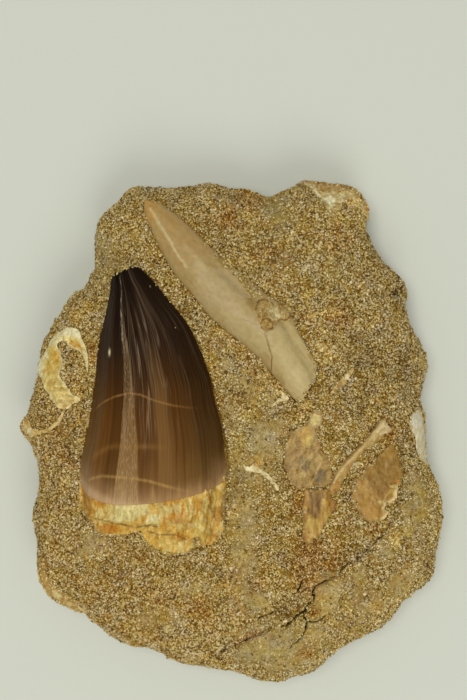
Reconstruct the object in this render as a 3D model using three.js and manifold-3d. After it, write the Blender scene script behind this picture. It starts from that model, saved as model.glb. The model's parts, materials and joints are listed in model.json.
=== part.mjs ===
// A fossil mosasaur tooth in its block of sandy matrix, with the other teeth, shells and bones
// that lie in the same block. Millimetres, +Z up. The block rests on z = 0, its middle over the origin.
import * as THREE from "three";
import { mergeVertices } from "three/addons/utils/BufferGeometryUtils.js";
import Module from "manifold-3d";

const wasm = await Module();
wasm.setup();

// ---- Driving dimensions ----

const FIT_GAP = 0.3; // between a fossil and its bed, or two fossils that meet
const OPEN_SKY = 6; // how far a plate's bed is cut above the plate's upper face
const PLATE_SEAT = 0.8; // how far it is cut below the plate's lower face
const CUTTER_BEVEL = 0.02; // a cutter's edges are all but sharp

// The block of matrix. Its upper face is a flat dome from the rim line up to topZ.
const BLOCK = {
  middle: [-1, -2],
  topZ: 20,
  rimZ: 9,
  rimSwing: 1.5, // the rim is lower by this at the +Y end and higher at the -Y end
  domeEdge: 4.6, // how late the dome turns down
  domeSoftness: 0.55, // how roundly it does
  notchSpan: 0.35, // how wide a stretch of the rim evens out its notches further in, radians
  notchFade: 4, // how close to the rim its notches stay sharp
  reliefFade: 6, // how close to the rim the swells and the ledge die out
  undercut: 0.05, // how much more the foot draws in at some sides than at others
  undercuts: 3,
  columns: 120,
};
const RIM_STOPS = 400; // places at which the rim line is measured

// The widest line round the block, clockwise from the top left.
const BLOCK_OUTLINE = [
  [-18, 44.5], [-21, 42], [-24.5, 38.5], [-25, 34], [-25, 30], [-27, 26.5], [-29.5, 25], [-32, 21.5],
  [-34, 17.5], [-35.5, 12.5], [-37, 4], [-38.5, 1.5], [-38.5, -0.5], [-37, -2.5], [-35.5, -8],
  [-35, -11], [-36, -15.5], [-35.5, -20], [-35.5, -26.5], [-34, -29.5], [-32, -31.5], [-27.5, -33.5],
  [-23, -37], [-19, -39.5], [-15, -40], [-9.5, -42], [-3.5, -44], [2.5, -45], [7.5, -46], [11.5, -45],
  [16, -43.5], [19.5, -40.5], [24, -38], [28, -35.5], [31.5, -31.5], [36.5, -27], [37, -24.5],
  [38, -19.5], [38.5, -15.5], [37.5, -9.5], [36, -4.5], [35.5, 2.5], [34.5, 6], [35.5, 11.5], [35, 15],
  [32.5, 20], [31.5, 23.5], [32, 25.5], [31, 27.5], [26.5, 32.5], [25, 37.5], [25.5, 40], [24.5, 43],
  [22, 45], [18, 45.5], [14, 46], [10, 44.5], [7, 42.5], [4, 43.5], [-3, 45], [-5.5, 45.5],
  [-8, 44.5], [-13.5, 44.5],
];

// The block's section from the middle of its underside, out to the rim and up over the dome.
// reach is the share of the way to the rim, level the share of the rim's height (2 is the dome).
const BLOCK_SECTION = [
  [0, 0], [0.45, 0], [0.72, 0], [0.86, 0], [0.94, 0.16], [0.985, 0.52], [1, 1],
  [0.985, 2], [0.955, 2], [0.915, 2], [0.87, 2], [0.81, 2], [0.74, 2], [0.66, 2], [0.57, 2],
  [0.47, 2], [0.36, 2], [0.24, 2], [0.12, 2], [0, 2],
];

// Low swells and hollows of the upper face.
const SWELLS = [
  { x: 4, y: -22, reach: 13, rise: 1 },
  { x: -25, y: -26, reach: 9, rise: -1.2 },
  { x: 17, y: 38, reach: 7, rise: 1.6 },
  { x: 22, y: 22, reach: 9, rise: -1.2 },
  { x: 2, y: 36, reach: 8, rise: -0.8 },
];

// The lower right of the upper face drops past a curved ledge, between two turns about its middle.
const LEDGE = {
  x: 14,
  y: -8,
  radius: 17,
  width: 3.5,
  drop: 1.3,
  firstTurn: -1.5,
  lastTurn: 0.35,
  endFade: 0.3,
};

// Bodies that lie between two edge lines, left and right as seen along them from their first end.
// axisZ is the height of the widest plane at the two ends. rise and drop are the section's height
// over and under that plane, as a share of its half width. sag pushes the upper and lower edge of
// the first end along the body.
const CROWN = {
  left: [[-27, -7.6], [-25.6, 1], [-24.7, 6.5], [-23.7, 15.5], [-22.6, 20], [-21.6, 24.7], [-21, 27.6]],
  right: [[-0.5, -7.2], [-1, 0.5], [-2.6, 6.3], [-4.4, 12], [-7.1, 18.3], [-11.5, 23.8], [-16.6, 29]],
  axisZ: [18.2, 19.6],
  rise: 0.72,
  drop: 0.5,
  sag: -4.2,
  sagFades: 3,
  segments: 20,
};
const CROWN_SECTION = [
  [0, 0], [0.5, 0], [1, 0], [1, 0.05], [1, 0.12], [1, 0.22], [1, 0.34], [1, 0.46], [1, 0.58], [1, 0.69],
  [1, 0.79], [1, 0.88], [1, 0.95], [0.9, 1], [0, 1],
];

const ROOT = {
  left: [[-0.8, -7.5], [-0.8, -12], [-1.6, -16.8], [-4.5, -20.4]],
  right: [[-27, -7.9], [-27.2, -12.5], [-25, -15.5], [-22.5, -17.4]],
  axisZ: [18, 17],
  rise: 0.66,
  drop: 0.42,
  sag: 4.2,
  sagFades: 1.2,
  segments: 20,
};
const ROOT_SECTION = [
  [0, 0], [0.5, 0], [0.97, 0], [1, 0.12], [1, 0.35], [0.97, 0.6], [0.88, 0.85], [0.66, 1], [0, 1],
];

const LONG_TOOTH = {
  left: [[-15.1, 40.9], [-12.4, 40.4], [-9.9, 38.8], [-5.8, 35.8], [-1.6, 31.7], [2.5, 27.5],
    [6.9, 23.4], [10.8, 18.8], [13.4, 15], [15.2, 9.6]],
  right: [[-15.3, 40.6], [-14.7, 37.2], [-12.5, 32.4], [-9, 26.8], [-4, 21.2], [0.5, 17.2], [5, 13],
    [8.3, 8.8], [12.4, 5]],
  axisZ: [16.6, 20.2],
  rise: 0.72,
  drop: 0.55,
  sag: 0,
  sagFades: 1,
  segments: 16,
};
const LONG_TOOTH_SECTION = [
  [0, 0], [1, 0.01], [1, 0.05], [1, 0.11], [1, 0.18], [1, 0.27], [1, 0.36], [1, 0.46], [1, 0.56],
  [1, 0.66], [1, 0.76], [1, 0.86], [1, 0.95], [0.9, 1], [0, 1],
];

// A column that takes in all of the long tooth past its break.
const BREAK = {
  outline: [
    [12, 21.6], [8.2, 19.7], [7.2, 18.3], [5.6, 17.8], [6.3, 15.8], [6.7, 13.4], [6.2, 10.4], [6.2, 2],
    [20, 2], [20, 21.6],
  ],
  lowZ: 5,
  highZ: 35,
};

// Flat pieces, each an outline with a thickness. proud is how far the upper face stands above the
// dome, and bevel is the width of its broken edge.
const PLATES = {
  left_shell: {
    outline: [
      [-26, 10.9], [-26.1, 12.8], [-26.3, 14.6], [-27, 16.8], [-28, 18.2], [-29, 18.7], [-30.3, 18.2],
      [-32.4, 16], [-33.5, 14.4], [-34.6, 12.5], [-35, 10.6], [-34.2, 8.6], [-32.9, 5.9], [-31.2, 4.1],
      [-29.9, 3.8], [-28.8, 4.6], [-27.6, 5.3], [-27.7, 6], [-29.1, 6.8], [-30.4, 8.9], [-31.1, 10.3],
      [-30.6, 12], [-31.4, 14.4], [-31.1, 16.2], [-30.3, 16], [-29.5, 14.6], [-28.6, 14.8],
      [-27.9, 15.3], [-27.2, 13.9], [-26.7, 12.4], [-26.5, 10.9],
    ],
    thickness: 3.2,
    proud: 0.9,
    bevel: 0.15,
  },
  left_rim_shell: {
    outline: [
      [-37.7, 1.4], [-36.6, 0], [-35.2, 0], [-33.4, 0.8], [-31.7, 1.5], [-30.9, 2.3], [-30.5, 3.2],
      [-30.1, 3], [-30.4, 2], [-31.4, 1], [-33.2, 0.2], [-35, -0.6], [-36.7, -0.7], [-38, 0.4],
    ],
    thickness: 2.6,
    proud: 0.5,
    bevel: 0.08,
  },
  forked_bone_blade: {
    outline: [
      [14.4, 3.6], [16.4, 3.1], [15.7, 1.2], [15.3, -1], [15.7, -3.4], [17.2, -4.2], [17.9, -6],
      [16.6, -9], [15.8, -9.6], [13.1, -9.8], [10.9, -8.6], [9.1, -5.9], [9.4, -3], [10.7, 0.3],
    ],
    thickness: 2.2,
    proud: 0.35,
    bevel: 0.2,
  },
  forked_bone_stem: {
    outline: [
      [12.7, -10.4], [12.4, -13.5], [12.4, -16.4], [12, -19.1], [13.1, -19.6], [14.4, -19.3],
      [15.7, -17.5], [16.4, -15.3], [18.1, -13.3], [18.4, -12], [16.2, -10.1],
    ],
    thickness: 2.6,
    proud: 0.55,
    bevel: 0.25,
  },
  forked_bone_arm: {
    outline: [
      [17.3, -9.8], [18.3, -8.6], [19, -6.7], [20.8, -4.6], [21.7, -3], [23.6, -1], [25.8, 1], [26.7, 2.2],
      [28, 0.3], [26.3, -0.4], [23.9, -2.1], [22.1, -3.9], [20.8, -5.9], [19.7, -7.6], [19, -9.4],
      [18.4, -11.2],
    ],
    thickness: 3,
    proud: 0.8,
    bevel: 0.15,
  },
  bone_plate: {
    outline: [
      [28.6, -1.1], [29.7, -3.3], [30.3, -7], [29.9, -9], [28.8, -11.5], [27.3, -12.4], [27.9, -13.9],
      [27.5, -16.8], [26.4, -15.9], [24.6, -15.7], [22.8, -14.6], [21.1, -12.1], [21.3, -10.4],
      [23.1, -8.6], [24.4, -6.1], [26.4, -4.6], [27.3, -2.6],
    ],
    thickness: 1.6,
    proud: 0.2,
    bevel: 0.15,
  },
  edge_shell: {
    outline: [
      [32.3, 1.6], [33.6, 3.3], [34.3, 2.4], [34.9, 0.7], [35.2, -3.1], [35.3, -5.7], [34, -4.8],
      [33.5, -1.6], [32.3, 0.3],
    ],
    thickness: 2.4,
    proud: 0.4,
    bevel: 0.2,
  },
  bone_sliver: {
    outline: [
      [2, -5.6], [3.1, -5.9], [4.1, -5.4], [5.3, -6.6], [6.5, -7.4], [8.2, -9.2], [7.9, -9.9],
      [6.2, -8.3], [4.6, -6.9], [2.2, -6.6],
    ],
    thickness: 1.4,
    proud: 0.35,
    bevel: 0.08,
  },
  corner_bone: {
    outline: [
      [-35.4, -26.6], [-33.3, -26.9], [-31.4, -28], [-29, -29.8], [-28.4, -33], [-31.9, -31.5],
      [-34.1, -29.4],
    ],
    thickness: 3,
    proud: 0.4,
    bevel: 0.2,
  },
  crest_shell: {
    outline: [
      [12.4, 44.6], [14.4, 43.2], [17.2, 42.2], [19, 39.4], [21.4, 38.8], [22.8, 39.8], [23.8, 40.9],
      [22.8, 42.6], [21, 43.7], [18, 44.2], [14.4, 44.8],
    ],
    thickness: 1.8,
    proud: 0.3,
    bevel: 0.2,
  },
  chip_middle: {
    outline: [[7.3, 7.2], [8.2, 7.1], [9.8, 5.5], [9.1, 5], [8.1, 5.6], [7, 5.2], [6.6, 5.9]],
    thickness: 1.2,
    proud: 0.3,
    bevel: 0.1,
  },
  chip_right: {
    outline: [[20.7, 11.3], [21.3, 10.6], [20.2, 9.1], [19.8, 7.9], [18.5, 7.1], [18.6, 8.7]],
    thickness: 1.4,
    proud: 0.35,
    bevel: 0.1,
  },
};

// The lump over the break of the long tooth, a low dome with a lobed rim.
const PATCH = { x: 7.6, y: 20.9, reach: 3.1, lobe: 0.12, lobes: 3, lowZ: 18.6, highZ: 24, segments: 18 };
const PATCH_SECTION = [[0, 0], [1, 0], [1, 0.45], [0.92, 0.72], [0.7, 0.9], [0.4, 0.98], [0, 1]];

const COLOURS = {
  matrix: 0xa88f62,
  enamel: 0x3b2a22,
  longEnamel: 0xc0a878,
  rootBone: 0xd9b26a,
  paleShell: 0xdccfa8,
  brownBone: 0xa07c48,
  creamBone: 0xd2bd8a,
};

// ---- The block's upper face ----

const smoothStep = (from, to, value) => THREE.MathUtils.smoothstep(value, from, to);

// Distance from the block's middle to its rim, for a turn about the middle.
const rimLine = new THREE.CatmullRomCurve3(
  BLOCK_OUTLINE.map(([x, y]) => new THREE.Vector3(x, y, 0)), true, "centripetal",
).getPoints(RIM_STOPS).map((point) => {
  const across = point.x - BLOCK.middle[0];
  const along = point.y - BLOCK.middle[1];
  return { turn: Math.atan2(along, across), reach: Math.hypot(across, along) };
}).sort((a, b) => a.turn - b.turn);

function rimReach(anyTurn) {
  const turn = Math.atan2(Math.sin(anyTurn), Math.cos(anyTurn));
  const after = rimLine.findIndex((stop) => stop.turn >= turn);
  if (after < 1) return rimLine[0].reach;
  const from = rimLine[after - 1];
  const to = rimLine[after];
  const share = (turn - from.turn) / Math.max(to.turn - from.turn, 1e-9);
  return THREE.MathUtils.lerp(from.reach, to.reach, share);
}

// The same with the rim's notches evened out.
function evenReach(turn) {
  const span = BLOCK.notchSpan;
  return (rimReach(turn - span) + 2 * rimReach(turn) + rimReach(turn + span)) / 4;
}

const rimZ = (turn) => BLOCK.rimZ - BLOCK.rimSwing * Math.sin(turn);

// Height of the upper face over a place on the plan.
function domeZ(x, y) {
  const across = x - BLOCK.middle[0];
  const along = y - BLOCK.middle[1];
  const turn = Math.atan2(along, across);
  const out = Math.hypot(across, along);
  const toRim = Math.min(out / rimReach(turn), 1);
  const nearRim = toRim ** BLOCK.notchFade;
  const share = Math.min(THREE.MathUtils.lerp(out / evenReach(turn), toRim, nearRim), 1);
  const inside = 1 - toRim ** BLOCK.reliefFade;
  let z = rimZ(turn);
  z += (BLOCK.topZ - z) * (1 - share ** BLOCK.domeEdge) ** BLOCK.domeSoftness;
  for (const swell of SWELLS) {
    const away = ((x - swell.x) ** 2 + (y - swell.y) ** 2) / swell.reach ** 2;
    z += swell.rise * Math.exp(-away) * inside;
  }
  const ledgeTurn = Math.atan2(y - LEDGE.y, x - LEDGE.x);
  const past = Math.hypot(x - LEDGE.x, y - LEDGE.y) - LEDGE.radius;
  const ends = smoothStep(LEDGE.firstTurn - LEDGE.endFade, LEDGE.firstTurn, ledgeTurn)
    * (1 - smoothStep(LEDGE.lastTurn, LEDGE.lastTurn + LEDGE.endFade, ledgeTurn));
  return z - LEDGE.drop * smoothStep(0, LEDGE.width, past) * ends * inside;
}

// ---- Solids ----

function solidOf(geometry) {
  geometry.deleteAttribute("normal");
  geometry.deleteAttribute("uv");
  const merged = mergeVertices(geometry, 1e-4);
  return new wasm.Manifold(new wasm.Mesh({
    numProp: 3,
    vertProperties: merged.attributes.position.array,
    triVerts: merged.index.array,
  }));
}

// A lathe of a section of [reach, level] pairs, each of whose vertices is moved by place().
function shapedLathe(section, segments, place) {
  const profile = section.map(([reach, level]) => new THREE.Vector2(reach, level));
  const geometry = new THREE.LatheGeometry(profile, segments);
  const position = geometry.attributes.position;
  for (let i = 0; i < position.count; i += 1) {
    const reach = Math.hypot(position.getX(i), position.getZ(i));
    const turn = Math.atan2(-position.getZ(i), position.getX(i));
    position.setXYZ(i, ...place(reach, position.getY(i), turn));
  }
  return solidOf(geometry);
}

function blockSolid() {
  return shapedLathe(BLOCK_SECTION, BLOCK.columns, (reach, level, turn) => {
    const foot = BLOCK.undercut * Math.max(1 - level, 0) * (1 + Math.sin(BLOCK.undercuts * turn));
    const out = reach * (1 - foot) * rimReach(turn);
    const x = BLOCK.middle[0] + out * Math.cos(turn);
    const y = BLOCK.middle[1] + out * Math.sin(turn);
    return [x, y, level > 1 ? domeZ(x, y) : level * rimZ(turn)];
  });
}

const edgeCurve = (points) => new THREE.SplineCurve(points.map(([x, y]) => new THREE.Vector2(x, y)));

// A closed body whose oval sections span two edge lines. grow thickens it all round.
function edgedBody(body, section, grow = 0) {
  const left = edgeCurve(body.left);
  const right = edgeCurve(body.right);
  const middle = (level) => left.getPointAt(level).add(right.getPointAt(level)).multiplyScalar(0.5);
  const way = middle(1).sub(middle(0)).normalize();
  return shapedLathe(section, body.segments, (reach, level, turn) => {
    const across = left.getPointAt(level).sub(right.getPointAt(level));
    const width = across.length() / 2 + grow;
    across.normalize().multiplyScalar(reach * width * Math.cos(turn));
    let along = body.sag * reach * Math.abs(Math.sin(turn)) * (1 - level) ** body.sagFades;
    if (level === 0) along -= grow;
    if (level === 1) along += grow;
    const place = middle(level).add(across).addScaledVector(way, along);
    const height = reach * width * Math.sin(turn) * (Math.sin(turn) > 0 ? body.rise : body.drop);
    return [place.x, place.y, THREE.MathUtils.lerp(body.axisZ[0], body.axisZ[1], level) + height];
  });
}

// An upright slab of an outline that stands on z = 0, its outline grown and its edges bevelled.
function slabGeometry(outline, height, bevel, grow) {
  const shape = new THREE.Shape(outline.map(([x, y]) => new THREE.Vector2(x, y)));
  return new THREE.ExtrudeGeometry(shape, {
    depth: height - 2 * bevel,
    bevelThickness: bevel,
    bevelSize: bevel,
    bevelOffset: grow - bevel,
    bevelSegments: 1,
    curveSegments: 1,
  }).translate(0, 0, bevel);
}

// A plate that follows the upper face. As a cutter it is grown, and open to the sky.
function plateSolid({ outline, thickness, proud, bevel }, grow = 0) {
  const seat = grow > 0 ? PLATE_SEAT : 0;
  const height = thickness + seat + (grow > 0 ? OPEN_SKY : 0);
  const geometry = slabGeometry(outline, height, grow > 0 ? CUTTER_BEVEL : bevel, grow);
  const position = geometry.attributes.position;
  for (let i = 0; i < position.count; i += 1) {
    const lift = domeZ(position.getX(i), position.getY(i)) + proud - thickness - seat;
    position.setZ(i, position.getZ(i) + lift);
  }
  return solidOf(geometry);
}

function patchSolid(grow = 0) {
  return shapedLathe(PATCH_SECTION, PATCH.segments, (reach, level, turn) => {
    const out = reach * (grow + PATCH.reach * (1 + PATCH.lobe * Math.sin(PATCH.lobes * turn)));
    const z = THREE.MathUtils.lerp(PATCH.lowZ - grow, PATCH.highZ + grow, level);
    return [PATCH.x + out * Math.cos(turn), PATCH.y + out * Math.sin(turn), z];
  });
}

function breakSolid(grow = 0) {
  const geometry = slabGeometry(BREAK.outline, BREAK.highZ - BREAK.lowZ, CUTTER_BEVEL, grow);
  return solidOf(geometry.translate(0, 0, BREAK.lowZ));
}

// ---- Assembly ----

const solids = {};
const beds = [];

solids.mosasaur_crown = edgedBody(CROWN, CROWN_SECTION);
beds.push(edgedBody(CROWN, CROWN_SECTION, FIT_GAP));
solids.mosasaur_root = edgedBody(ROOT, ROOT_SECTION);
beds.push(edgedBody(ROOT, ROOT_SECTION, FIT_GAP));

const longTooth = edgedBody(LONG_TOOTH, LONG_TOOTH_SECTION);
const longToothBed = edgedBody(LONG_TOOTH, LONG_TOOTH_SECTION, FIT_GAP);
solids.long_tooth_tip = longTooth.subtract(breakSolid(FIT_GAP));
solids.long_tooth_base = longTooth.intersect(breakSolid());
beds.push(longToothBed);

solids.matrix_patch = patchSolid().subtract(longToothBed);
beds.push(patchSolid(FIT_GAP));

for (const [name, plate] of Object.entries(PLATES)) {
  solids[name] = plateSolid(plate);
  beds.push(plateSolid(plate, FIT_GAP));
}

solids.matrix = beds.reduce((block, bed) => block.subtract(bed), blockSolid());

const FINISHES = {
  matrix: [COLOURS.matrix, 0.95],
  matrix_patch: [COLOURS.matrix, 0.95],
  mosasaur_crown: [COLOURS.enamel, 0.35],
  mosasaur_root: [COLOURS.rootBone, 0.85],
  long_tooth_tip: [COLOURS.longEnamel, 0.4],
  long_tooth_base: [COLOURS.longEnamel, 0.5],
  left_shell: [COLOURS.paleShell, 0.7],
  left_rim_shell: [COLOURS.paleShell, 0.7],
  edge_shell: [COLOURS.paleShell, 0.7],
  crest_shell: [COLOURS.paleShell, 0.8],
  forked_bone_blade: [COLOURS.brownBone, 0.7],
  forked_bone_stem: [COLOURS.creamBone, 0.7],
  forked_bone_arm: [COLOURS.creamBone, 0.6],
  bone_plate: [COLOURS.brownBone, 0.6],
  bone_sliver: [COLOURS.creamBone, 0.7],
  corner_bone: [COLOURS.creamBone, 0.8],
  chip_middle: [COLOURS.paleShell, 0.7],
  chip_right: [COLOURS.creamBone, 0.7],
};

function meshOf(name) {
  const mesh = solids[name].getMesh();
  const geometry = new THREE.BufferGeometry();
  geometry.setAttribute("position", new THREE.BufferAttribute(mesh.vertProperties, 3));
  geometry.setIndex(new THREE.BufferAttribute(mesh.triVerts, 1));
  geometry.computeVertexNormals();
  const [color, roughness] = FINISHES[name];
  const made = new THREE.Mesh(geometry, new THREE.MeshStandardMaterial({ color, roughness, metalness: 0 }));
  made.name = name;
  return made;
}

const group = new THREE.Group();
for (const name of Object.keys(solids)) group.add(meshOf(name));

export default group;
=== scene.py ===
import json
import math

import bpy
import numpy as np
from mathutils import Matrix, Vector, noise
from mathutils.bvhtree import BVHTree

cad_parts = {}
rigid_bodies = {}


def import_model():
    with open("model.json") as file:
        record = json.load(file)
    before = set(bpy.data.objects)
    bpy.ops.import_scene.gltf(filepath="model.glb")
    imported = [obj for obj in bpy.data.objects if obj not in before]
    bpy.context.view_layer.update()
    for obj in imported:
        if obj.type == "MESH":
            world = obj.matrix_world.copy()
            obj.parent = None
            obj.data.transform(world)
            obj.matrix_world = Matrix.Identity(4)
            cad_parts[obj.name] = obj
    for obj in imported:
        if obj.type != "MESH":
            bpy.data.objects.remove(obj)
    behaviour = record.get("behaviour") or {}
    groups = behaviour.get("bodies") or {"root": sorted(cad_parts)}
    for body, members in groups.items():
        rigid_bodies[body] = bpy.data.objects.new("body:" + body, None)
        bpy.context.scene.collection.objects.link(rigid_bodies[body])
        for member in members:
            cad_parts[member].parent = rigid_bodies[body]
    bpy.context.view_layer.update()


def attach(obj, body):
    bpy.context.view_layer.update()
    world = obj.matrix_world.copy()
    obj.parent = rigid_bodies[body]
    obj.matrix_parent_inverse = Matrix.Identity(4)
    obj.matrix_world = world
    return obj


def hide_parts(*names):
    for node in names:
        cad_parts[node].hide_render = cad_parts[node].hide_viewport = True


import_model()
mm = 0.001

view = {
    "place": (0.00027, 0.0146, 0.280),  # straight above the block
    "lens": 75.7, "sensor": 36, "nearest": 0.01,
    "skyColour": "fdfefd",
    "skyAbove": 0.26, "skyAround": 0.34,  # strength overhead and at the horizon
    "lampsAim": (0, 0, 0.015),  # the middle of the block
}
lamps = [
    # name, place, size, power, colour
    ("bigSoftbox", (-0.10, 0.08, 1.00), 0.46, 5.2, "fffefb"),
    ("sideSoftbox", (0.16, -0.60, 0.80), 0.60, 3.0, "fffefc"),
]
floorLook = {"size": 10.0, "colour": "d0d3c5", "roughness": 0.7, "specular": 0.3}


def deselectAll():
    if bpy.context.object and bpy.context.object.mode != "OBJECT":
        bpy.ops.object.mode_set(mode="OBJECT")
    for o in bpy.context.view_layer.objects:
        o.select_set(False)


def pick(o):
    deselectAll()
    o.select_set(True)
    bpy.context.view_layer.objects.active = o


def linear(channel):
    return channel / 12.92 if channel <= 0.04045 else ((channel + 0.055) / 1.055) ** 2.4


# A colour as a painter's hex code, as the renderer wants it.
def paint(code):
    return tuple(linear(int(code[i:i + 2], 16) / 255) for i in (0, 2, 4)) + (1.0,)


def tint(code):
    return np.array(paint(code)[:3])


# node helpers

def newMaterial(name, roughness, specular):
    mat = bpy.data.materials.new(name)
    mat.use_nodes = True
    shader = mat.node_tree.nodes["Principled BSDF"]
    shader.inputs["Roughness"].default_value = roughness
    shader.inputs["Specular IOR Level"].default_value = specular
    return mat, shader


def plug(mat, value, socket):
    if isinstance(value, bpy.types.NodeSocket):
        mat.node_tree.links.new(value, socket)
    elif value is not None:
        socket.default_value = value


def add(mat, kind, **settings):
    made = mat.node_tree.nodes.new("ShaderNode" + kind)
    for key, value in settings.items():
        setattr(made, key, value)
    return made


def place(mat, stretch=(1, 1, 1), turn=(0, 0, 0), uv=False):
    source = add(mat, "UVMap", uv_map="UVMap") if uv else add(mat, "TexCoord")
    mapping = add(mat, "Mapping")
    plug(mat, source.outputs["UV" if uv else "Object"], mapping.inputs["Vector"])
    mapping.inputs["Scale"].default_value = stretch
    mapping.inputs["Rotation"].default_value = turn
    return mapping.outputs["Vector"]


def cloud(mat, vector, size, detail, rough=0.5, unit=mm):
    made = add(mat, "TexNoise")
    plug(mat, vector, made.inputs["Vector"])
    made.inputs["Scale"].default_value = 1 / (size * unit)
    made.inputs["Detail"].default_value = detail
    made.inputs["Roughness"].default_value = rough
    return made.outputs["Fac"]


def cells(mat, vector, size, output):
    made = add(mat, "TexVoronoi")
    plug(mat, vector, made.inputs["Vector"])
    made.inputs["Scale"].default_value = 1 / (size * mm)
    return made.outputs[output]


def oneOf(mat, colour):
    split = add(mat, "SeparateColor")
    plug(mat, colour, split.inputs["Color"])
    return split.outputs["Red"]


def ramp(mat, value, stops):
    made = add(mat, "ValToRGB")
    points = made.color_ramp.elements
    while len(points) < len(stops):
        points.new(0.5)
    for point, (at, code) in zip(points, stops):
        point.position = at
        point.color = paint(code)
    plug(mat, value, made.inputs["Fac"])
    return made.outputs["Color"]


def mix(mat, share, first, second, mode="MIX"):
    made = add(mat, "Mix", data_type="RGBA", blend_type=mode)
    for index, value in ((0, share), (6, first), (7, second)):
        plug(mat, paint(value) if isinstance(value, str) else value, made.inputs[index])
    return made.outputs[2]


def maths(mat, operation, first, second=0.0, clamp=False):
    made = add(mat, "Math", operation=operation, use_clamp=clamp)
    plug(mat, first, made.inputs[0])
    plug(mat, second, made.inputs[1])
    return made.outputs[0]


def between(mat, value, low, high, toLow=0.0, toHigh=1.0):
    made = add(mat, "MapRange")
    for index, item in enumerate((value, low, high, toLow, toHigh)):
        plug(mat, item, made.inputs[index])
    return made.outputs[0]


def painted(mat, name, output="Fac"):
    return add(mat, "Attribute", attribute_name=name).outputs[output]


def bump(mat, height, depth, before=None):
    made = add(mat, "Bump")
    made.inputs["Distance"].default_value = depth * mm
    plug(mat, height, made.inputs["Height"])
    plug(mat, before, made.inputs["Normal"])
    return made.outputs["Normal"]


# mesh helpers, all in mm

def coords(o):
    flat = np.empty(len(o.data.vertices) * 3, np.float32)
    o.data.vertices.foreach_get("co", flat)
    return flat.reshape(-1, 3).astype(float) / mm


def moveTo(o, points):
    o.data.vertices.foreach_set("co", (points * mm).astype(np.float32).ravel())
    o.data.update()


def normals(o):
    flat = np.empty(len(o.data.vertices) * 3, np.float32)
    o.data.vertex_normals.foreach_get("vector", flat)
    return flat.reshape(-1, 3).astype(float)


def setPaint(o, name, values):
    layer = o.data.attributes.get(name) or o.data.attributes.new(name, "FLOAT", "POINT")
    layer.data.foreach_set("value", np.asarray(values, np.float32))


def getPaint(o, name):
    values = np.empty(len(o.data.vertices), np.float32)
    o.data.attributes[name].data.foreach_get("value", values)
    return values.astype(float)


def setTone(o, colours):
    layer = o.data.attributes.get("tone") or o.data.attributes.new("tone", "FLOAT_COLOR", "POINT")
    rgba = np.hstack([np.clip(colours, 0, 1), np.ones((len(colours), 1))])
    layer.data.foreach_set("color", rgba.astype(np.float32).ravel())


def toward(colours, code, share):
    return colours + (tint(code) - colours) * np.clip(share, 0, 1)[:, None]


# Lightens or darkens as the eye sees it, by steps of the full range.
def lighten(colours, steps):
    gamma, darkest = 2.2, 0.005
    seen = np.clip(colours, 0, 1) ** (1 / gamma) + steps
    return np.clip(seen, darkest, 1) ** gamma


def fractal(points, octaves):
    return np.array([noise.fractal(q, 1.0, 2.0, octaves) for q in points.tolist()])


# Fractal noise at points, about -1 to 1. size is its coarsest grain.
def rough(points, size, octaves, seed, stretch=(1, 1, 1), turn=0.0):
    p = points
    if turn:
        p = points.copy()
        p[:, 0] = points[:, 0] * math.cos(turn) + points[:, 1] * math.sin(turn)
        p[:, 1] = points[:, 1] * math.cos(turn) - points[:, 0] * math.sin(turn)
    return fractal(p / (size * np.array(stretch, float)) + seed, octaves)


def smooth(value, low, high):
    share = np.clip((value - low) / (high - low), 0, 1)
    return share * share * (3 - 2 * share)


# Rises to one between the first two levels and falls again between the last two.
def window(value, low, high, fallsFrom, fallsTo):
    return smooth(value, low, high) * (1 - smooth(value, fallsFrom, fallsTo))


def hump(value, rise, at, half):
    return rise * np.exp(-((value - at) / half) ** 2)


def spot(points, x, y, reach, stretch=1.0, turn=0.0):
    across = (points[:, 0] - x) * math.cos(turn) + (points[:, 1] - y) * math.sin(turn)
    along = (points[:, 1] - y) * math.cos(turn) - (points[:, 0] - x) * math.sin(turn)
    return np.exp(-(across ** 2 + (along / stretch) ** 2) / reach ** 2)


# A spot with a ragged edge.
def blot(points, x, y, reach, stretch=1.0, turn=0.0):
    near = spot(points, x, y, reach, stretch, turn)
    wild = np.zeros(len(points))
    close = near > 0.03
    wild[close] = rough(points[close], reach * 0.6, 3, seed=x + 2.3 * y)
    return smooth(near + 0.30 * wild, 0.28, 0.62)


# Distance in plan from a run of points, with the share of the way along it and the side.
def fromLine(points, line, near=None):
    line = np.array(line, float)
    best = np.full(len(points), 1e9)
    share = np.zeros(len(points))
    side = np.zeros(len(points))
    if near is not None:
        low, high = line.min(0) - near, line.max(0) + near
        close = np.all((points[:, :2] > low) & (points[:, :2] < high), axis=1)
        if close.any():
            best[close], share[close], side[close] = fromLine(points[close], line)
        return best, share, side
    for i, (start, end) in enumerate(zip(line[:-1], line[1:])):
        way = end - start
        off = points[:, :2] - start
        at = np.clip(off @ way / max(way @ way, 1e-9), 0, 1)
        away = np.linalg.norm(off - at[:, None] * way, axis=1)
        nearer = away < best
        best = np.where(nearer, away, best)
        share = np.where(nearer, (i + at) / (len(line) - 1), share)
        side = np.where(nearer, np.sign(way[0] * off[:, 1] - way[1] * off[:, 0]), side)
    return best, share, side


# How far points lie outside a closed outline, below nought inside it.
def outsideOf(points, run, near=3.0):
    closed = np.vstack([run, run[:1]])
    away = fromLine(points, closed, near)[0]
    close = np.flatnonzero(away < 1e8)
    x, y = points[close, 0], points[close, 1]
    within = np.zeros(len(close), bool)
    for (ax, ay), (bx, by) in zip(closed[:-1], closed[1:]):
        crosses = (ay > y) != (by > y)
        slope = (bx - ax) / (by - ay) if by != ay else 0.0
        within ^= crosses & (x < ax + slope * (y - ay))
    away[close] = np.where(within, -away[close], away[close])
    return away


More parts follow.
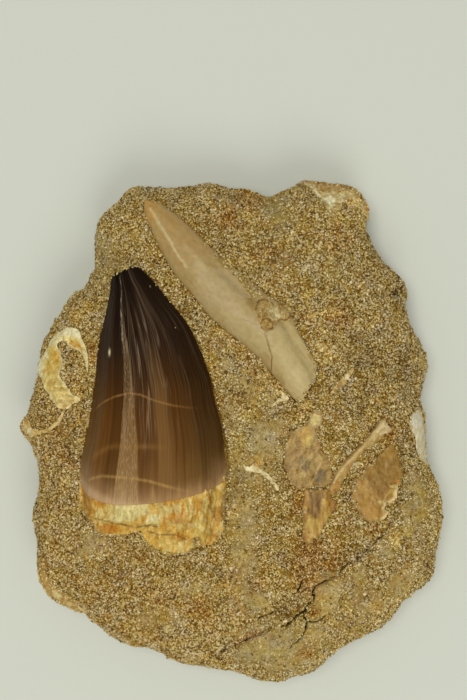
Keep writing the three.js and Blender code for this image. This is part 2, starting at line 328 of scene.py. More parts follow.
# Points along an open or closed run, close together.
def smoothLine(points, closed=False, per=24):
    pts = np.array(points, float)
    if closed:
        pts = np.vstack([pts[-1:], pts, pts[:2]])
    else:
        pts = np.vstack([2 * pts[:1] - pts[1:2], pts, 2 * pts[-1:] - pts[-2:-1]])
    t = np.linspace(0, 1, per, endpoint=False)[:, None]
    run = []
    for a, b, c, d in zip(pts[:-3], pts[1:-2], pts[2:-1], pts[3:]):
        run.append(0.5 * (2 * b + (c - a) * t + (2 * a - 5 * b + 4 * c - d) * t ** 2
                          + (3 * b - a - 3 * c + d) * t ** 3))
    return np.vstack(run + ([] if closed else [pts[-2:-1]]))


def applyModifiers(o):
    pick(o)
    for modifier in list(o.modifiers):
        bpy.ops.object.modifier_apply(modifier=modifier.name)


def mergeDoubles(o):
    pick(o)
    bpy.ops.object.mode_set(mode="EDIT")
    bpy.ops.mesh.select_all(action="SELECT")
    bpy.ops.mesh.remove_doubles(threshold=0.0005 * mm)
    bpy.ops.mesh.normals_make_consistent(inside=False)
    bpy.ops.object.mode_set(mode="OBJECT")


# A fine even skin of small faces, so that a rough body can be shaped.
def recut(body, voxel, softening=0):
    remesh = body.modifiers.new("remesh", "REMESH")
    remesh.mode = "VOXEL"
    remesh.voxel_size = voxel * mm
    if softening:
        soften = body.modifiers.new("soften", "SMOOTH")
        soften.factor = 0.5
        soften.iterations = softening
    applyModifiers(body)


# Selects the faces whose middles pass a test, and works on them in edit mode.
def onFaces(body, test, work):
    middles = np.empty(len(body.data.polygons) * 3, np.float32)
    body.data.polygons.foreach_get("center", middles)
    facing = np.empty(len(body.data.polygons) * 3, np.float32)
    body.data.polygons.foreach_get("normal", facing)
    chosen = test(middles.reshape(-1, 3) / mm, facing.reshape(-1, 3))
    pick(body)
    bpy.ops.object.mode_set(mode="EDIT")
    bpy.ops.mesh.select_mode(type="FACE")
    bpy.ops.mesh.select_all(action="DESELECT")
    bpy.ops.object.mode_set(mode="OBJECT")
    body.data.polygons.foreach_set("select", chosen)
    bpy.ops.object.mode_set(mode="EDIT")
    work()
    bpy.ops.object.mode_set(mode="OBJECT")


# A closed slab that stands on an outline, which has one corner for each point of the run.
def slab(run, height):
    deselectAll()
    bpy.ops.mesh.primitive_circle_add(vertices=len(run), radius=0.01, fill_type="NGON")
    body = bpy.context.object
    p = coords(body)
    p[:, :2], p[:, 2] = run, 0
    moveTo(body, p)
    bpy.ops.object.mode_set(mode="EDIT")
    bpy.ops.mesh.select_all(action="SELECT")
    bpy.ops.mesh.extrude_region_move(TRANSFORM_OT_translate={"value": (0, 0, height * mm)})
    bpy.ops.mesh.select_all(action="SELECT")
    bpy.ops.mesh.normals_make_consistent(inside=False)
    bpy.ops.object.mode_set(mode="OBJECT")
    return body


# A grid wrapped into a closed body: u runs round it and v along it, and shape(u, v) gives mm.
def wrapGrid(name, around, along, shape):
    deselectAll()
    bpy.ops.mesh.primitive_grid_add(x_subdivisions=around, y_subdivisions=along, size=1)
    body = bpy.context.object
    body.name = name
    flat = coords(body) * mm
    u, v = flat[:, 0] + 0.5, flat[:, 1] + 0.5
    setPaint(body, "around", u)
    setPaint(body, "along", v)
    moveTo(body, shape(u, v))
    mergeDoubles(body)
    return body


def finishPiece(o, material, nodes=()):
    o.data.materials.clear()
    o.data.materials.append(material)
    pick(o)
    bpy.ops.object.shade_smooth()
    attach(o, "root")
    if nodes:
        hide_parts(*nodes)
    o.data.calc_loop_triangles()
    print("made", o.name, len(o.data.loop_triangles), "triangles")


block = {
    "middle": (-1, -2),
    "topZ": 20, "rimZ": 9, "rimSwing": 1.5,
    "domeEdge": 4.6, "domeSoftness": 0.55,
    "notchSpan": 0.35, "notchFade": 4, "reliefFade": 6,
    "undercut": 0.05, "undercuts": 3,
    "outline": [
        (-18, 44.5), (-21, 42), (-24.5, 38.5), (-25, 34), (-25, 30), (-27, 26.5), (-29.5, 25),
        (-32, 21.5), (-34, 17.5), (-35.5, 12.5), (-37, 4), (-38.5, 1.5), (-38.5, -0.5),
        (-37, -2.5), (-35.5, -8), (-35, -11), (-36, -15.5), (-35.5, -20), (-35.5, -26.5),
        (-34, -29.5), (-32, -31.5), (-27.5, -33.5), (-23, -37), (-19, -39.5), (-15, -40),
        (-9.5, -42), (-3.5, -44), (2.5, -45), (7.5, -46), (11.5, -45), (16, -43.5),
        (19.5, -40.5), (24, -38), (28, -35.5), (31.5, -31.5), (36.5, -27), (37, -24.5),
        (38, -19.5), (38.5, -15.5), (37.5, -9.5), (36, -4.5), (35.5, 2.5), (34.5, 6),
        (35.5, 11.5), (35, 15), (32.5, 20), (31.5, 23.5), (32, 25.5), (31, 27.5), (26.5, 32.5),
        (25, 37.5), (25.5, 40), (24.5, 43), (22, 45), (18, 45.5), (14, 46), (10, 44.5), (7, 42.5),
        (4, 43.5), (-3, 45), (-5.5, 45.5), (-8, 44.5), (-13.5, 44.5),
    ],
    # reach out to the rim and level up to it, and 2 on the dome
    "section": [
        (0, 0), (0.45, 0), (0.72, 0), (0.86, 0), (0.94, 0.16), (0.985, 0.52), (1, 1),
        (0.985, 2), (0.955, 2), (0.915, 2), (0.87, 2), (0.81, 2), (0.74, 2), (0.66, 2),
        (0.57, 2), (0.47, 2), (0.36, 2), (0.24, 2), (0.12, 2), (0, 2),
    ],
    "swells": [  # x, y, reach, rise
        (4, -22, 13, 1), (-25, -26, 9, -1.2), (17, 38, 7, 1.6), (22, 22, 9, -1.2), (2, 36, 8, -0.8),
    ],
    "around": 300, "along": 190,
    "voxel": 0.33,
    "underThinning": 0.03, "flankThinning": 0.30,
    "crackFineness": [0.5, 0.3],  # faces nearer a crack than each of these are split once more
}

rimLine = smoothLine(block["outline"], closed=True)
rimTurns = np.arctan2(rimLine[:, 1] - block["middle"][1], rimLine[:, 0] - block["middle"][0])
rimReaches = np.hypot(rimLine[:, 1] - block["middle"][1], rimLine[:, 0] - block["middle"][0])
rimOrder = np.argsort(rimTurns)


def rimReach(turn):
    return np.interp(turn, rimTurns[rimOrder], rimReaches[rimOrder], period=2 * math.pi)


def rimZ(turn):
    return block["rimZ"] - block["rimSwing"] * np.sin(turn)


# Height of the block's upper face over a place on the plan.
def domeZ(x, y):
    across, along = x - block["middle"][0], y - block["middle"][1]
    turn = np.arctan2(along, across)
    out = np.hypot(across, along)
    toRim = np.minimum(out / rimReach(turn), 1)
    span = block["notchSpan"]
    even = (rimReach(turn - span) + 2 * rimReach(turn) + rimReach(turn + span)) / 4
    share = out / even + (toRim - out / even) * toRim ** block["notchFade"]
    share = np.minimum(share, 1)
    rise = (1 - share ** block["domeEdge"]) ** block["domeSoftness"]
    z = rimZ(turn) + (block["topZ"] - rimZ(turn)) * rise
    inside = 1 - toRim ** block["reliefFade"]
    for sx, sy, reach, lift in block["swells"]:
        z = z + lift * np.exp(-((x - sx) ** 2 + (y - sy) ** 2) / reach ** 2) * inside
    return z


def blockShape(u, v):
    section = np.array(block["section"], float)
    stops = np.linspace(0, 1, len(section))
    reach = np.interp(v, stops, section[:, 0])
    level = np.interp(v, stops, section[:, 1])
    turn = (u * 2 - 1) * math.pi
    below = np.maximum(1 - level, 0)
    foot = block["undercut"] * below * (1 + np.sin(block["undercuts"] * turn))
    out = reach * (1 - foot) * rimReach(turn)
    x = block["middle"][0] + out * np.cos(turn)
    y = block["middle"][1] + out * np.sin(turn)
    side = rimZ(turn) * np.minimum(level, 1)
    z = np.where(level > 1, side + (domeZ(x, y) - side) * np.clip(level - 1, 0, 1), side)
    return np.stack([x, y, z], 1)


relief = {
    # size and height of the broad lumps that the fossils ride on too
    "lumps": [(10, 0.42), (4.2, 0.26)],
    # size and height of the small lumps, on smooth and on gritty ground
    "small": [(2.1, 0.09, 0.19), (0.95, 0.03, 0.16)],
    "bedding": 0.55,  # how far the layers stand out on the flanks
    "flankLumps": 0.8,
    "holeDepth": 0.34,  # of the small pits between grains
    "bedDrop": 0.07, "bedDepth": 0.9,  # of a fossil's bed, at its edge and under its middle
    "ledges": [  # drop past it, run of points with the low side on the left hand
        (0.9, [(31.6, 1.5), (30.2, -3.3), (30.6, -6.8), (29.9, -10.3), (29.1, -13.9), (27.4, -17.8),
               (26.3, -18.8), (24.8, -20), (23.7, -21.2), (22.1, -22.7), (20.8, -23.2), (19.4, -24.4),
               (18.3, -25.6), (16.5, -26.4), (14.6, -27.4)]),
        (0.9, [(6.8, -34.8), (5.3, -35.8), (3.2, -36.7), (0.5, -38), (-1.2, -39), (-3.4, -40.4)]),
    ],
    "cracks": [  # depth, half width, points
        (1.1, 0.17, [(14.6, -27.4), (14.3, -28.2), (14.5, -29.1), (14.6, -29.9)]),
        (1.3, 0.22, [(14.6, -29.7), (13.7, -30.4), (13.3, -30.9), (13.1, -31.9), (11.8, -32.4),
                     (10.9, -33.3), (9.9, -34.2), (8.7, -34.7)]),
        (0.9, 0.14, [(12.8, -32.3), (12.9, -33), (13.4, -33.9), (13.1, -35.3), (12.4, -36.5), (11.2, -37.8),
                     (10.3, -38.8)]),
        (0.8, 0.12, [(13.4, -33.9), (15.1, -33.8), (16.3, -33.1), (17.2, -32.9)]),
        (1.0, 0.15, [(12.3, -26.3), (11.9, -27.5), (11, -28.6)]),
        (0.35, 0.10, [(27.2, -18.3), (26.2, -18.8), (25.4, -19.5)]),
        (0.35, 0.10, [(24.2, -20.8), (23.6, -21.4)]), (0.3, 0.09, [(22.7, -22.1), (22.2, -22.6)]),
        (0.3, 0.10, [(3.4, -36.6), (1.8, -37.4), (0.4, -38)]), (0.35, 0.10, [(20.4, -23.5), (19.4, -24.4)]),
        (0.3, 0.09, [(-0.8, -38.8), (-2, -39.6)]), (0.5, 0.12, [(16.8, -26.2), (15.8, -26.7), (14.7, -27.3)]),
        (0.2, 0.07, [(19.5, -31.4), (19.1, -30.4), (19.4, -29.2)]),
        (0.35, 0.10, [(7.6, -31.7), (5.9, -32.5), (4.5, -32.8)]),
    ],
    "pits": [  # x, y, reach, depth
        (7.8, -30.2, 0.55, 0.9), (0.1, -25.4, 0.4, 0.8), (24.8, 26.8, 0.7, 0.8), (22.4, -33.4, 0.5, 0.7),
        (30.9, -23.4, 0.5, 0.8), (30.2, 25.1, 1.5, 1.1), (7.1, -24.8, 0.4, 0.7), (-12.5, -25.6, 0.4, 0.6),
        (-4.5, 35.2, 0.35, 0.6), (16.6, 13.4, 0.4, 0.7), (12.5, 16.4, 0.45, 0.7), (-29.7, -14.5, 0.4, 0.6),
    ],
}

sandZones = {
    "plain": "9a814d",
    # colour, the way the noise at its edge leans, and how much grittier or smoother it makes the sand,
    # with its spots: x, y, reach, strength, stretch along y, turn
    "clay": ("98865b", -1, -0.8, [
        (9.4, -36.6, 2.0, 0.9, 2.6, -1.1), (16.2, -30.6, 2.0, 0.7, 1.4, 0.4), (2, -21.6, 2.6, 0.6, 1.2, 0.6),
        (-6, -27.5, 2.4, 0.5, 0.8, 0), (12.2, -35.4, 1.7, 0.9, 2.0, -0.9), (8, -38.5, 4.4, 1.0, 1.4, 1.2),
        (3, -40.2, 3, 0.9, 0.7, 0.3), (14, -37.5, 3.2, 0.7, 1, 0), (17.0, -28.0, 2.1, 1.0, 1.5, 0.5),
        (3.2, -30, 2.8, 0.8, 1, 0), (32.5, -15, 3, 0.8, 2.2, 0), (22.6, -25.4, 2.0, 0.7, 0.7, 0.7),
        (27.6, -21.4, 2.2, 0.7, 1.6, -0.9), (16, 30, 11, 0.28, 1, 0), (23, 17, 8, 0.22, 1, 0),
        (10.4, -34.9, 1.6, 0.8, 0.5, 0.6), (5, -2, 4.2, 0.8, 1.8, 0), (6, 4.5, 3.2, 0.5, 1, 0),
        (1, 10.5, 3.4, 0.5, 1.8, 0.9), (8.3, 38.5, 3.2, 0.9, 1.2, 0), (24.3, 11.8, 1.5, 1.0, 1, 0),
        (17.3, 28.5, 3, 0.6, 1, 0), (2, -15, 3.2, 0.5, 2, 0), (-26, -20, 3.5, 0.45, 1.2, 0),
        (-13, -33, 4.4, 0.45, 0.6, 0), (-24, 33, 2.6, 0.6, 2, 0.4), (31, -27, 3.2, 0.5, 1.4, -0.5),
        (24, -31, 3.6, 0.4, 1, 0),
    ]),
    "rust": ("8f6118", 1, 0.25, [
        (-31, -2, 8, 0.26, 2, 0), (-18, -31, 13, 0.24, 0.6, 0), (-2, -32, 9, 0.2, 0.8, 0),
        (21.4, -19.6, 2.2, 0.7, 0.6, 0.7), (17.6, -23.2, 1.8, 0.8, 0.8, 0.6),
        (-0.5, 38.5, 1.9, 0.9, 1.5, 0), (3, 41.5, 2.2, 0.5, 1, 0), (19, 34.5, 2.6, 0.55, 1, 0),
        (21.3, 41.2, 1.6, 0.7, 1, 0), (19, 20.2, 3.4, 0.75, 0.5, 0.1), (28, 0.3, 1.5, 0.9, 1.7, 0.3),
        (13.6, -21.3, 2.4, 1.0, 1.2, 0), (13, -24.5, 2.8, 0.8, 1, 0), (18.6, -20.4, 2.8, 0.55, 1, 0),
        (1.7, -36.9, 3.4, 0.95, 0.32, 0.5), (14.6, -32, 1.1, 0.9, 0.6, 0), (13.7, -39.8, 2, 0.7, 0.5, 0),
        (11.4, -12.5, 1.2, 0.9, 2, 0), (-25, 14, 0.9, 0.9, 2.2, 0.1), (-33, -22, 2.4, 0.35, 1.6, 0),
        (-6, -31, 4.4, 0.4, 0.6, 0), (24.4, -17.6, 2, 0.7, 0.7, 0.6), (7.5, 31, 3, 0.35, 1, 0),
        (-22.5, 8.6, 1.0, 0.4, 3, 0), (4.4, -26.6, 2.2, 0.5, 1, 0), (9.5, 0.5, 1.2, 0.6, 1, 0),
    ]),
    "shade": ("6c5731", 0, 0, [
        (24, 15, 4.6, 0.45, 1, 0), (31, 10, 2.6, 0.55, 2, 0), (30.2, 25.1, 1.3, 0.9, 1.4, 0.3),
        (8.9, -31.4, 1.8, 0.6, 1, 0), (21.5, -21.4, 2, 0.6, 2, -0.8), (32.6, -3, 1.0, 0.6, 2, 0),
        (23, 4.5, 1.6, 0.35, 2, -0.7), (1.2, -8, 1.2, 0.4, 3, 0), (20, 9, 4, 0.3, 1, 0),
    ]),
    "cream": ("c9ab68", 0, -0.5, [
        (21.6, 42.8, 2.2, 0.9, 0.7, -0.4), (16.4, 44.9, 2.4, 0.8, 0.35, -0.1),
        (24.6, 40.6, 1.1, 0.8, 1.8, 0.1), (18.4, 39.6, 1.4, 0.6, 1, 0), (-33.6, -27.6, 1.2, 0.6, 2.0, 0.5),
        (-29, -31.8, 1.2, 0.6, 0.6, -0.5), (-37.6, 1.4, 0.9, 0.6, 1, 0), (16, 14.6, 1.0, 0.5, 1.8, 0.7),
        (4.4, -5.4, 0.8, 0.7, 1, 0), (13.2, 5.2, 0.8, 0.5, 1, 0), (28.4, -10.2, 0.8, 0.6, 2, 0),
        (17.6, 21.0, 1.6, 0.7, 0.5, 0.2), (29.0, -19.4, 0.9, 0.6, 1, 0), (-28, 20.6, 1.6, 0.35, 1, 0),
    ]),
    "gritty": [  # x, y, reach, strength
        (20, 25, 13, 0.35), (26, 8, 8, 0.35), (-8, 34, 8, 0.15), (15, -22, 6, 0.2), (-30, -5, 6, 0.15),
        (-5, 22, 7, 0.2), (-20, -26, 8, 0.1),
    ],
}


# Broad heights of the block's face over the plain dome: lumps and ledges.
def broadRelief(p):
    flat = p * [1, 1, 0]
    lift = sum(rough(flat, size, 2, seed=11.3 + size) * height for size, height in relief["lumps"])
    for drop, line in relief["ledges"]:
        away, share, side = fromLine(p, line, near=24)
        ends = window(share, 0, 0.08, 0.92, 1)
        outer = np.where(side > 0, away, -away)
        lift = lift - smooth(outer, -0.15, 0.55) * hump(outer, drop, 0, 8) * ends * (away < 1e8)
    return lift


# Height of the face that the fossils lie in, with its broad lumps.
def faceZ(p):
    return domeZ(p[:, 0], p[:, 1]) + broadRelief(p)


# Colour and grittiness of the sand at places on the block.
def sandAt(p):
    grit = 0.62 + 0.32 * rough(p, 7.5, 3, seed=3.3) + 0.26 * rough(p, 2.4, 3, seed=8.1)
    for x, y, reach, strength in sandZones["gritty"]:
        grit += strength * spot(p, x, y, reach)
    tone = np.tile(tint(sandZones["plain"]), (len(p), 1))
    drift = rough(p, 3.0, 4, seed=21.0)
    for kind in ("clay", "rust", "shade", "cream"):
        code, lean, grittier, spots = sandZones[kind]
        share = np.zeros(len(p))
        for x, y, reach, strength, stretch, turn in spots:
            share = np.maximum(share, strength * spot(p, x, y, reach, stretch, turn))
        ragged = np.clip(share + (0.30 + 0.3 * share) * drift * lean - 0.03, 0, 1) if lean else share
        tone = toward(tone, code, ragged)
        grit += share * grittier
    fine = 0.05 * rough(p, 1.5, 3, seed=41.0) + 0.05 * rough(p, 5, 2, seed=55.0)
    fine += 0.03 * rough(p, 0.8, 2, seed=47.0)
    hue = rough(p, 2.4, 3, seed=61.0)[:, None] * np.array([0.015, 0.0, -0.07])
    return lighten(tone, fine[:, None] + hue), np.clip(grit, 0, 1)


beds = []  # name, outline and how far sand may creep over each fossil


# Distance outside the nearest fossil's outline, and how far sand creeps over that one.
def toFossils(p):
    best, creep = np.full(len(p), 9.0), np.zeros(len(p))
    for _, run, over in beds:
        away = outsideOf(p, run, near=2.5)
        nearer = away < best
        best, creep = np.where(nearer, away, best), np.where(nearer, over, creep)
    return best, creep


# Fossils lie flat in the block's face: an outline is filled, given its thickness, cut fine and
# laid on the face. Its look says how it is raised, worn and coloured.
def fragment(name, look):
    run = smoothLine(look["outline"], closed=True, per=4)
    body = slab(run, look["thickness"])
    body.name = name
    recut(body, look.get("voxel", 0.14), look.get("softening", 2))
    p = coords(body)
    high = np.clip(p[:, 2] / look["thickness"], 0, 1)
    inward = -outsideOf(p, run)
    base = look["under"](p) if "under" in look else faceZ(p)
    lift = np.full(len(p), float(look["proud"]))
    lift += look.get("bulge", 0) * smooth(inward, 0, look.get("bulgeWidth", 2.0))
    for rise, half, line in look.get("ridges", ()):
        lift += hump(fromLine(p, line)[0], rise, 0, half)
    for drop, x, y, reach, *shape in look.get("hollows", ()):
        lift -= drop * spot(p, x, y, reach, *shape)
    if "highEdge" in look:  # falls away from its outer wall
        fall, width, line = look["highEdge"]
        lift -= fall * smooth(fromLine(p, line)[0], 0.3, width)
    lift = np.maximum(lift, look.get("least", 0.12))
    foot = base + look["proud"] - look["thickness"]
    p[:, 2] = foot + (base + lift - foot) * high
    if "covered" in look:  # keeps below the piece that lies over it
        lid = look["covered"](p)
        p[:, 2] = np.where(lid > p[:, 2] - 3, np.minimum(p[:, 2], lid - 0.18), p[:, 2])
    moveTo(body, p)
    n = normals(body)
    out = np.zeros(len(p))
    for size, height, *shape in look["grain"]:
        stretch, turn = shape if shape else (1, 0)
        out += height * rough(p, size, 3, seed=size * 7 + len(name), stretch=(1, stretch, 1), turn=turn)
    p += n * out[:, None]
    jag = look.get("jag", 0.14)
    for axis in (0, 1):
        p[:, axis] += jag * rough(p, 0.9, 3, seed=5 + 8 * axis + len(name))
    moveTo(body, p)
    beds.append((name, run, look.get("creep", 0.3)))
    return body


# Lays colour on a fossil: mottled tones first, then blots, lines and a rim.
def colourFossil(body, look):
    p = coords(body)
    tone = np.tile(tint(look["tones"][0]), (len(p), 1))
    size, stretch, turn = look.get("mottle", (1.8, 1, 0))
    for i, code in enumerate(look["tones"][1:]):
        seed = 9 + 5 * i + len(body.name)
        field = rough(p, size * (1 - 0.15 * i), 4, seed, stretch=(1, stretch, 1), turn=turn)
        tone = toward(tone, code, smooth(field, -0.05, 0.35) * look.get("mottleShare", 0.8))
    for code, strength, x, y, reach, *shape in look.get("blots", ()):
        tone = toward(tone, code, strength * blot(p, x, y, reach, *shape))
    if "rim" in look:
        code, strength, width = look["rim"]
        inward = -outsideOf(p, smoothLine(look["outline"], closed=True, per=4))
        ragged = inward + 0.35 * rough(p, 0.9, 3, seed=13)
        tone = toward(tone, code, strength * (1 - smooth(ragged, 0, width)))
    for code, strength, half, line in look.get("lines", ()):
        away = fromLine(p + 0.12 * rough(p, 0.8, 2, seed=3)[:, None], line)[0]
        tone = toward(tone, code, hump(away, strength, 0, half))
    speck = rough(p, 0.62, 3, seed=77, stretch=(1, stretch, 1), turn=turn) * look.get("speckle", 0.30)
    setTone(body, lighten(tone * look.get("warmth", (1.0, 0.95, 0.74)), 0.4 * speck[:, None]))


def makeFossil(name, look, material, node):
    body = fragment(name, look)
    colourFossil(body, look)
    finishPiece(body, material, [node])


# Bone, shell and enamel share one recipe: the laid colour, fine pores or fibres and a bump.
def fossilMaterial(name, roughness, specular, pores, poreSize, depth, fibre=None, subsurface=0.0):
    mat, shader = newMaterial(name, roughness, specular)
    at = place(mat)
    pore = cloud(mat, at, poreSize, 4, 0.65)
    shade = ramp(mat, pore, [(0.30, "8c7c5c"), (0.45, "e0dccf"), (0.60, "ffffff")])
    colour = mix(mat, pores, painted(mat, "tone", "Color"), shade, "MULTIPLY")
    height = pore
    if fibre:
        strands = cloud(mat, place(mat, fibre), 1.0, 4, 0.6)
        colour = mix(mat, pores, colour, ramp(mat, strands, [(0.36, "b5904c"), (0.52, "ffffff")]), "MULTIPLY")
        height = maths(mat, "ADD", pore, maths(mat, "MULTIPLY", strands, 2.0))
    plug(mat, colour, shader.inputs["Base Color"])
    plug(mat, between(mat, pore, 0.3, 0.7, roughness + 0.1, roughness - 0.08), shader.inputs["Roughness"])
    plug(mat, bump(mat, height, depth), shader.inputs["Normal"])
    if subsurface:
        shader.inputs["Subsurface Weight"].default_value = subsurface
        shader.inputs["Subsurface Radius"].default_value = (0.8 * mm, 0.5 * mm, 0.3 * mm)
        shader.inputs["Subsurface Scale"].default_value = 1.0
    return mat


print("making the teeth")


# Where an edge line is at each share of its length.
def edgeLine(points):
    run = smoothLine(points)
    length = np.concatenate([[0], np.cumsum(np.linalg.norm(np.diff(run, axis=0), axis=1))])
    length /= length[-1]
    return lambda share: np.stack([np.interp(share, length, run[:, i]) for i in (0, 1)], -1)


crown = {
    "left": [(-27.1, -7.8), (-26.7, -4.1), (-25.6, 0.9), (-24.7, 6.6), (-24.2, 10.4), (-23.7, 15.4),
             (-22.6, 20.1), (-22.1, 22.2), (-21.6, 24.7), (-21.3, 27.3)],
    "right": [(-0.4, -7.2), (-0.6, -4.1), (-1.2, 0.5), (-1.9, 3.3), (-2.8, 6.3), (-3.4, 9.5),
              (-4.4, 12.1), (-5.6, 15.1), (-7.1, 18.3), (-9, 21), (-11.5, 23.8), (-13.8, 26.6),
              (-16.6, 29.3)],
    "base": [(-27, -8.2), (-25.6, -9.6), (-22.4, -11.2), (-19.3, -12.1), (-16.1, -12.6),
             (-13.2, -12.8), (-9.7, -12.6), (-6.5, -11.7), (-4.1, -11.2), (-1.8, -9.6), (-0.5, -7.3)],
    "axisZ": (18.2, 19.6),
    "rise": 0.72, "drop": 0.5,
    "sag": -4.6, "sagFades": 3,
    "top": 0.345,  # share of the width at which it is highest
    "facetting": 0.8,
    "levels": [0, 0.1, 0.6, 0.85, 1],
    # shares of the width where facets meet, at each of those levels up the crown
    "edges": [
        [0, 0, 0, 0, 0], [0.09, 0.09, 0.15, 0.19, 0.2], [0.2, 0.2, 0.235, 0.245, 0.25],
        [0.265, 0.275, 0.292, 0.27, 0.32], [0.43, 0.42, 0.342, 0.302, 0.35], [0.55, 0.55, 0.5, 0.5, 0.52],
        [0.66, 0.66, 0.62, 0.62, 0.64], [0.83, 0.83, 0.82, 0.82, 0.82], [1, 1, 1, 1, 1],
    ],
    # a groove and a second ridge by the tip: rise, place across, half width
    "tipGroove": (-0.30, 0.215, 0.042), "tipRidge": (0.09, 0.52, 0.028),
    # the broken tip's peaks and notch: rise, place across, half width
    "tipPeaks": [(-1.0, 0.27, 0.06), (0.6, 0.62, 0.25), (0.7, 0.12, 0.10)],
    "leans": (0.10, 1.0),  # the way that sag and tip run on the plan
    "around": 400, "along": 236,
    "upper": 0.8,  # share of the columns that run over the upper side
    "ends": 0.035,  # share of the rows that close each end
    "striation": 0.045, "waves": 0.05, "edgeChips": 0.32,
    "creep": 0.08,  # how far sand creeps over its edge
}


# Where each facet edge runs at a level up the crown.
def facetEdges(level):
    return [np.interp(level, crown["levels"], row) for row in crown["edges"]]


# Height of the crown's upper side across its width, as it would be without facets.
def oval(share):
    top = crown["top"]
    return np.sqrt(np.maximum(1 - ((share - top) / np.where(share < top, top, 1 - top)) ** 2, 0))


# How wide a tooth is open at its rows, which close at both ends, and their levels up it.
def openRows(v, ends):
    stops = [0, ends, 1 - ends, 1]
    return np.interp(v, stops, [0, 1, 1, 0]), np.interp(v, stops, [0, 0, 1, 1])


def crownShape(u, v):
    left, right = edgeLine(crown["left"]), edgeLine(crown["right"])
    reach, level = openRows(v, crown["ends"])
    over = crown["upper"]
    turn = np.where(u < over, u / over * math.pi, math.pi + (u - over) / (1 - over) * math.pi)
    upper = turn <= math.pi
    share = (1 - np.cos(turn)) / 2  # across, 0 at the left edge
    edges = facetEdges(level)
    flat = np.zeros(len(u))
    for low, high in zip(edges[:-1], edges[1:]):
        inside = (share >= low) & (share <= high)
        at = np.clip((share - low) / np.maximum(high - low, 1e-6), 0, 1)
        flat = np.where(inside, oval(low) + (oval(high) - oval(low)) * at, flat)
    high = oval(share) + (flat - oval(share)) * crown["facetting"]
    high = high + hump(share, *crown["tipGroove"]) * smooth(level, 0.45, 1.0)
    high = high + hump(share, *crown["tipRidge"]) * window(level, 0.3, 0.6, 0.9, 1)
    low = -np.sin(turn - math.pi)
    a, b = left(level), right(level)
    across = a - b
    width = np.linalg.norm(across, axis=1) / 2
    across = across / (2 * width[:, None])
    offset = (1 - 2 * share) * reach * width
    way = np.array(crown["leans"]) / math.hypot(*crown["leans"])
    lift = np.where(upper, high * crown["rise"], low * crown["drop"]) * reach * width
    sag = crown["sag"] * reach * np.where(upper, oval(share), -low) * (1 - level) ** crown["sagFades"]
    xy = (a + b) / 2 + across * offset[:, None] + way * sag[:, None]
    peaks = sum(hump(share, *peak) for peak in crown["tipPeaks"]) * smooth(level, 0.93, 1) * reach
    xy = xy + way * peaks[:, None]
    z = crown["axisZ"][0] + (crown["axisZ"][1] - crown["axisZ"][0]) * level + lift
    return np.stack([xy[:, 0], xy[:, 1], z], 1)


# How far round and along each point is, its share of the width and its level up the crown.
def crownPlaces(body):
    u, v = getPaint(body, "around"), getPaint(body, "along")
    over, ends = crown["upper"], crown["ends"]
    share = np.where(u < over, (1 - np.cos(np.minimum(u, over) / over * math.pi)) / 2, 0.5)
    return u, v, share, np.clip((v - ends) / (1 - 2 * ends), 0, 1)


# Striations, waves and chipped side edges; the striations' heights are given back for the colour.
def shapeCrown(body):
    p, n = coords(body), normals(body)
    u, v, share = crownPlaces(body)[:3]
    lines = np.stack([share * 120, v * 4, np.zeros(len(u))], 1)
    fine = fractal(lines, 3)
    broad = fractal(lines * [0.25, 0.6, 1] + 7, 2)
    inside = (u > 0.01) & (u < crown["upper"] - 0.01)
    out = (fine * crown["striation"] + broad * crown["waves"]) * smooth(v, 0.03, 0.12) * inside
    chips = np.clip(rough(p, 1.4, 3, seed=31.0) - 0.1, 0, 1)
    out -= crown["edgeChips"] * chips * (hump(u, 1, crown["upper"], 0.02) + hump(u, 1, 0, 0.02))
    moveTo(body, p + n * out[:, None])
    return fine


crownPaint = {
    # colours at levels up the crown for its left facet, its middle and its right side; the left facet's are
    # lighter and greyer with a painted reflection, the right side's darker with painted shade
    "levels": [0, 0.04, 0.16, 0.33, 0.46, 0.62, 1],
    "left": ["b48c5e", "94704a", "80603a", "6e4c28", "563920", "36241a", "1c1310"],
    "middle": ["b08a5c", "86623a", "744e26", "66411b", "4e3218", "34241a", "1c1410"],
    "right": ["a58052", "7a5c34", "5e4424", "4a3218", "3a2715", "2c1e15", "1a120d"],
    # the strip is a facet that takes a painted highlight, so its colours are lighter and greyer
    "strip": ["b99e74", "9f8057", "917046", "7f5f38", "604628", "4c3b28", "372c20"],
    "bands": [  # lines of growth: colour, strength, half width, points
        ("b48a50", 0.75, 0.13, [(-24.4, 3.8), (-23.2, 4.9), (-22.2, 5.6), (-20.4, 6.5), (-17.8, 7.2),
                                (-15.8, 6.9), (-13.4, 5.9), (-10.2, 5), (-7.6, 4.6), (-5, 4.4)]),
        ("a67c42", 0.36, 0.45, [(-25, -5), (-23.4, -3.4), (-21.4, -2.2), (-20, -1.9), (-17, -1.9),
                                (-12.8, -2.1), (-10, -2.4)]),
        ("c4a064", 0.75, 0.22, [(-25.4, -8.6), (-24.4, -7.7), (-22.4, -7.1), (-19.6, -7.2), (-16.6, -7.5),
                                (-14.2, -7.9), (-11, -8.9), (-7.8, -9.8), (-5.5, -9.9)]),
    ],
    # painted shade on the runs on both sides of the strip highlight
    "dark": 0.34, "shadePastStrip": 0.8,  # the dark runs on both sides of the strip
    # the pale facet's colour is a painted reflection
    "paintedFacetReflection": ("957349", 0.38), "haze": ("8a725c", 0.26), "glint": ("c9bfae", 0.50),
    # the chalky edge by the root and the glow above it: colour, strength, reach from and to
    "margin": [("d8b896", 0.8, 0.1, 1.5), ("c8a480", 0.36, 0.6, 4.6)],
    "warmth": (0.86, 0.82, 0.70), "tipWarmth": 0.12,
    "fleck": ("e2d6a2", 1.4),
    "flecks": [(-21.3, 14.2, 0.17, 3), (-14.4, 25.8, 0.06, 1.6), (-9.9, 18.5, 0.05, 1.4)],
}


def fade(level, side):
    stops = np.array([tint(code) for code in crownPaint[side]])
    return np.stack([np.interp(level, crownPaint["levels"], stops[:, i]) for i in range(3)], 1)


